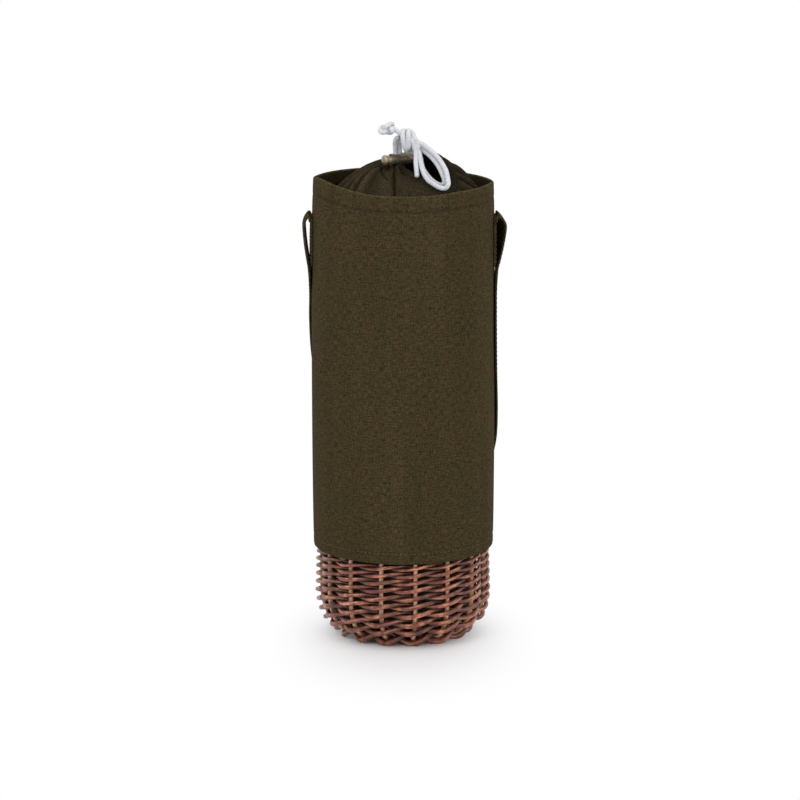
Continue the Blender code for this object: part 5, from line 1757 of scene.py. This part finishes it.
@dataclass
class CordLock:
    """The cord lock: a barrel with a bore, a groove and a slot, and the plunger with its button."""

    place: tuple = (-0.0044, -0.0150, 0.3749)
    yaw: float = math.radians(30)
    barrel_radius: float = 0.0045
    barrel_mouth: float = -0.0062
    barrel_end: float = 0.0147
    end_wall: float = 0.0020
    edge: float = 0.0005
    groove_at: float = 0.0057
    plunger_radius: float = 0.00355
    clearance: float = 0.0003
    travel: float = 0.0030
    plunger_end: float = 0.0072
    button_radius: float = 0.0041
    button_neck: float = -0.0095
    button_tip: float = -0.0129
    button_profile: tuple = (
        (0.02, 0.80), (0.10, 0.93), (0.26, 0.985), (0.45, 1.0), (0.62, 0.96), (0.76, 0.87), (0.87, 0.72),
        (0.95, 0.50), (0.99, 0.26), (1.0, 0.06),
    )
    slot_half: float = 0.00411
    slot_width: float = 0.00426
    sides: int = 48

    def into_place(self, item: bpy.types.Object) -> None:
        """Turn a piece that was made upright along the lock's axis and move it to its place."""
        turn = Matrix.Rotation(self.yaw, 4, "Z") @ Matrix.Rotation(math.pi / 2, 4, "Y")
        item.matrix_world = Matrix.Translation(Vector(self.place)) @ turn @ item.matrix_world
        settle(item)

    def start(self, add: Callable, place: float, **sizes: object) -> bpy.types.Object:
        """Add a plain shape that stands upright at a place on the lock's axis."""
        bpy.ops.object.select_all(action="DESELECT")
        add(location=(0, 0, place), **sizes)
        return bpy.context.active_object

    def rod(self, name: str, radius: float, low: float, high: float) -> bpy.types.Object:
        """Add a named cylinder between two places on the lock's axis."""
        item = self.start(bpy.ops.mesh.primitive_cylinder_add, (high + low) / 2,
                          vertices=self.sides, radius=radius, depth=high - low)
        item.name = name
        settle(item)
        return item

    def upright_slot(self, start: float, end: float) -> bpy.types.Object:
        """The cutter of a slot with rounded ends, across a piece that stands upright."""
        cutter = self.start(bpy.ops.mesh.primitive_cube_add, (start + end) / 2, size=1)
        cutter.scale = (0.03, self.slot_width, end - start)
        settle(cutter)
        bevel = cutter.modifiers.new("Round", "BEVEL")
        bevel.width = self.slot_width * 0.47
        bevel.segments = 8
        bevel.limit_method = "ANGLE"
        bevel.affect = "EDGES"
        apply_modifiers(cutter)
        return cutter

    def cut_out(self, item: bpy.types.Object, cutter: bpy.types.Object) -> None:
        """Take a cutter's space out of a piece and remove the cutter."""
        boolean = item.modifiers.new("Cut", "BOOLEAN")
        boolean.operation = "DIFFERENCE"
        boolean.solver = "EXACT"
        boolean.object = cutter
        apply_modifiers(item)
        bpy.data.objects.remove(cutter)

    def choose_end(self, item: bpy.types.Object, height: float) -> None:
        """Select only the end face below a height, in edit mode."""
        choose(item)
        bpy.ops.object.mode_set(mode="EDIT")
        bpy.ops.mesh.select_all(action="DESELECT")
        bpy.ops.mesh.select_mode(type="FACE")
        bpy.ops.object.mode_set(mode="OBJECT")
        for face in item.data.polygons:
            face.select = abs(face.normal.z) > 0.9 and face.center.z < height
        bpy.ops.object.mode_set(mode="EDIT")

    def soften(self, item: bpy.types.Object, width: float) -> None:
        """Round the sharp edges of a piece a little and smooth the rest."""
        bevel = item.modifiers.new("Edges", "BEVEL")
        bevel.width = width
        bevel.segments = 3
        bevel.limit_method = "ANGLE"
        bevel.angle_limit = math.radians(38)
        bevel.use_clamp_overlap = True
        apply_modifiers(item)
        choose(item)
        bpy.ops.object.shade_smooth_by_angle(angle=math.radians(40))

    def barrel(self, bronze: bpy.types.Material) -> None:
        """Turn the barrel, open its bore, cut its groove and its slot."""
        depth = self.barrel_end - self.barrel_mouth
        item = self.rod("lock_barrel_shell", self.barrel_radius, self.barrel_mouth, self.barrel_end)
        self.choose_end(item, self.barrel_mouth + 0.001)
        bore = self.plunger_radius + self.clearance
        bpy.ops.mesh.inset(thickness=self.barrel_radius - bore)
        bpy.ops.mesh.extrude_region_move(TRANSFORM_OT_translate={"value": (0, 0, depth - self.end_wall)})
        bpy.ops.object.mode_set(mode="OBJECT")
        self.soften(item, self.edge)
        for place, size in ((self.groove_at, 0.0006), (self.barrel_end - 0.0032, 0.00035)):
            ring = self.start(bpy.ops.mesh.primitive_torus_add, place, major_segments=self.sides,
                              minor_segments=10, major_radius=self.barrel_radius + 0.0001, minor_radius=size)
            settle(ring)
            self.cut_out(item, ring)
        self.cut_out(item, self.upright_slot(-self.slot_half, self.slot_half))
        self.soften(item, 0.00018)
        self.into_place(item)
        dress(item, bronze, Body.LOCK, ("lock_barrel",))

    def plunger(self, bronze: bpy.types.Material) -> None:
        """Turn the plunger, swell its button out of its end and cut its slot."""
        item = self.rod("lock_plunger_button", self.plunger_radius, self.button_neck, self.plunger_end)
        self.choose_end(item, self.button_neck + 0.0005)
        length = self.button_neck - self.button_tip
        size = self.plunger_radius
        level = 0.0
        for share, part in self.button_profile:
            wide = part * self.button_radius
            out = (0, 0, -(share - level) * length)
            bpy.ops.mesh.extrude_region_move(TRANSFORM_OT_translate={"value": out})
            bpy.ops.transform.resize(value=(wide / size, wide / size, 1.0))
            size, level = wide, share
        bpy.ops.object.mode_set(mode="OBJECT")
        self.cut_out(item, self.upright_slot(-self.slot_half - self.travel, self.slot_half))
        self.soften(item, 0.00016)
        self.into_place(item)
        dress(item, bronze, Body.BUTTON, ("lock_plunger",))


# ---------------------------------------------------------------------------
# Camera, light and floor
# ---------------------------------------------------------------------------


@dataclass
class StudioStage:
    """The camera at the photograph's angle, a pale floor and soft lamps."""

    camera_place: tuple = (-0.00247, -3.4706, 0.9531)
    pitch_down: float = math.radians(12.504)
    lens: float = 206.5
    sensor: float = 36.0
    floor_colour: tuple = (0.93, 0.93, 0.94)
    floor_shade: tuple = (0.045, 0.215)
    floor_radius: float = 14
    floor_height: float = -0.00012
    ambient: float = 0.80
    lamps: tuple = (
        ("key_lamp", (-1.1, -1.5, 1.9), 1.5, 12.0),
        ("fill_lamp", (1.5, -1.2, 1.3), 1.6, 7.0),
        ("top_lamp", (0.0, 0.3, 2.1), 1.4, 8.0),
    )
    lamps_aim: tuple = (0, 0, 0.2)

    def put_in(self, name: str, data: bpy.types.ID, place: tuple) -> bpy.types.Object:
        """Put a camera or a lamp in the scene."""
        item = bpy.data.objects.new(name, data)
        bpy.context.scene.collection.objects.link(item)
        item.location = place
        return item

    def camera(self) -> None:
        """Set the camera."""
        data = bpy.data.cameras.new("photo_camera")
        data.lens = self.lens
        data.sensor_width = self.sensor
        item = self.put_in("photo_camera", data, self.camera_place)
        item.rotation_euler = (math.pi / 2 - self.pitch_down, 0, 0)
        bpy.context.scene.camera = item

    def lamp(self, name: str, place: tuple, size: float, power: float) -> None:
        """Add a soft square lamp that faces the basket."""
        data = bpy.data.lights.new(name, "AREA")
        data.size = size
        data.energy = power
        item = self.put_in(name, data, place)
        item.rotation_euler = (Vector(self.lamps_aim) - Vector(place)).to_track_quat("-Z", "Y").to_euler()

    def seen_directly(self, tree: bpy.types.NodeTree) -> bpy.types.NodeSocket:
        """One for camera, mirror and glass rays, and zero for light that spreads."""
        path = tree.nodes.new("ShaderNodeLightPath")
        total = path.outputs["Is Camera Ray"]
        for name in ("Is Glossy Ray", "Is Transmission Ray"):
            node = tree.nodes.new("ShaderNodeMath")
            node.operation = "MAXIMUM"
            tree.links.new(total, node.inputs[0])
            tree.links.new(path.outputs[name], node.inputs[1])
            total = node.outputs[0]
        return total

    def world(self) -> None:
        """A white background to look at, and an even soft light from all round."""
        world = bpy.data.worlds.new("studio")
        bpy.context.scene.world = world
        world.use_nodes = True
        tree = world.node_tree
        tree.nodes.clear()
        out = tree.nodes.new("ShaderNodeOutputWorld")
        seen, light = (tree.nodes.new("ShaderNodeBackground") for _ in range(2))
        for node, strength in ((seen, 1.0), (light, self.ambient)):
            node.inputs["Color"].default_value = (1, 1, 1, 1)
            node.inputs["Strength"].default_value = strength
        self.blend(tree, self.seen_directly(tree), light, seen, out.inputs[0])

    def blend(self, tree: bpy.types.NodeTree, share: bpy.types.NodeSocket, first: bpy.types.Node,
              second: bpy.types.Node, out: bpy.types.NodeSocket) -> None:
        """Mix two shaders by a share and send them out."""
        node = tree.nodes.new("ShaderNodeMixShader")
        for start, end in ((share, 0), (first.outputs[0], 1), (second.outputs[0], 2)):
            tree.links.new(start, node.inputs[end])
        tree.links.new(node.outputs[0], out)

    def floor(self) -> None:
        """A pale floor that keeps the basket's soft shadow and turns white away from it."""
        bpy.ops.object.select_all(action="DESELECT")
        bpy.ops.mesh.primitive_circle_add(vertices=96, radius=self.floor_radius, fill_type="NGON",
                                          location=(0, 0, self.floor_height))
        item = bpy.context.active_object
        item.name = "studio_floor"
        settle(item)
        board = NodeBoard("pale_floor")
        tree = board.tree
        distance = tree.nodes.new("ShaderNodeVectorMath")
        distance.operation = "LENGTH"
        tree.links.new(board.stretched((1.9, 1, 0), "Object", (0, 0.05, 0)), distance.inputs[0])
        away = tree.nodes.new("ShaderNodeMapRange")
        away.interpolation_type = "SMOOTHSTEP"
        away.inputs["From Min"].default_value, away.inputs["From Max"].default_value = self.floor_shade
        tree.links.new(distance.outputs["Value"], away.inputs["Value"])
        share = board.sums("MULTIPLY", away.outputs[0], self.seen_directly(tree))
        grain = board.cloud((900, 900, 900), 2.0, source="Object")
        low = tuple(c * 0.985 for c in self.floor_colour)
        shade = board.ramp(grain, ((0.3, low), (0.7, self.floor_colour)))
        board.finish(shade, 0.9, None, Specular_IOR_Level=0.0)
        white = tree.nodes.new("ShaderNodeEmission")
        white.inputs["Color"].default_value = (1, 1, 1, 1)
        white.inputs["Strength"].default_value = 1.0
        out = next(node for node in tree.nodes if node.type == "OUTPUT_MATERIAL")
        self.blend(tree, share, board.shader, white, out.inputs["Surface"])
        item.data.materials.append(board.material)

    def build(self) -> None:
        """Set the camera, the lamps, the world and the floor."""
        bpy.context.scene.view_settings.view_transform = "Standard"
        self.camera()
        self.world()
        for lamp in self.lamps:
            self.lamp(*lamp)
        self.floor()


def dress_kept_nodes() -> None:
    """Give the CAD nodes that stay their own finishes."""
    foam = PlainFinish("pressed_foam", (0.016, 0.018, 0.012), 0.95, 1800.0).material()
    board = PlainFinish("stiff_board", (0.35, 0.31, 0.25), 0.85, 600.0).material()
    steel = PlainFinish("spring_steel", (0.60, 0.60, 0.60), 0.32, 2400.0, 1.0).material()
    for name, material in (("insulated_cup", foam), ("base_board", board), ("lock_spring", steel)):
        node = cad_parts[name]
        node.data.materials.clear()
        node.data.materials.append(material)
        LOG.info("%s keeps its CAD shape", name)


def main() -> None:
    """Build the basket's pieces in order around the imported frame."""
    logging.basicConfig(level=logging.INFO, format="%(message)s")
    StudioStage().build()
    collar = Collar()
    braid = BraidFinish("white_braid").material()
    Drawcord().build(collar, braid)
    lock = CordLock()
    lock.barrel(BronzeFinish("bronze_barrel").material())
    # The button is the lock's bronze made lighter: a painted highlight.
    lit_button_bronze = BronzeFinish(
        "bronze_button", colour=(0.24, 0.19, 0.11), rubbed=(0.44, 0.37, 0.24), roughness=0.27
    )
    lock.plunger(lit_button_bronze.material())
    canvas = ClothFinish("olive_canvas", shade="depth").material()
    # The collar's canvas is the olive canvas made darker: painted shade over the whole collar.
    shaded_collar_canvas = ClothFinish("shaded_collar_canvas", colour=(0.035, 0.0262, 0.0135), shade="depth").material()
    strap_canvas = ClothFinish("strap_canvas", thread_pitch=0.0009).material()
    lining_cloth = ClothFinish("lining_cloth", colour=(0.17, 0.13, 0.09), thread_pitch=0.0006).material()
    wadding = ClothFinish("wadding_cloth", colour=(0.60, 0.59, 0.55), slub_contrast=0.1).material()
    dark_thread = PlainFinish("dark_thread", (0.020, 0.014, 0.008), 0.8, 3000.0).material()
    pale_thread = PlainFinish("pale_thread", (0.12, 0.09, 0.05), 0.8, 3000.0).material()
    dark_stitch, pale_stitch = Stitching(dark_thread), Stitching(pale_thread)
    sleeve = CanvasSleeve()
    sleeve.body(canvas)
    sleeve.seams(dark_stitch, pale_stitch, canvas)
    collar.build(shaded_collar_canvas, dark_stitch)
    Lining().build(lining_cloth)
    Padding().build(wadding)
    strap = CarryStrap()
    strap.loop(sleeve, strap_canvas, pale_stitch)
    strap.ends(sleeve, strap_canvas, pale_stitch)
    WillowFoot().build()
    dress_kept_nodes()


if __name__ == "__main__":
    main()
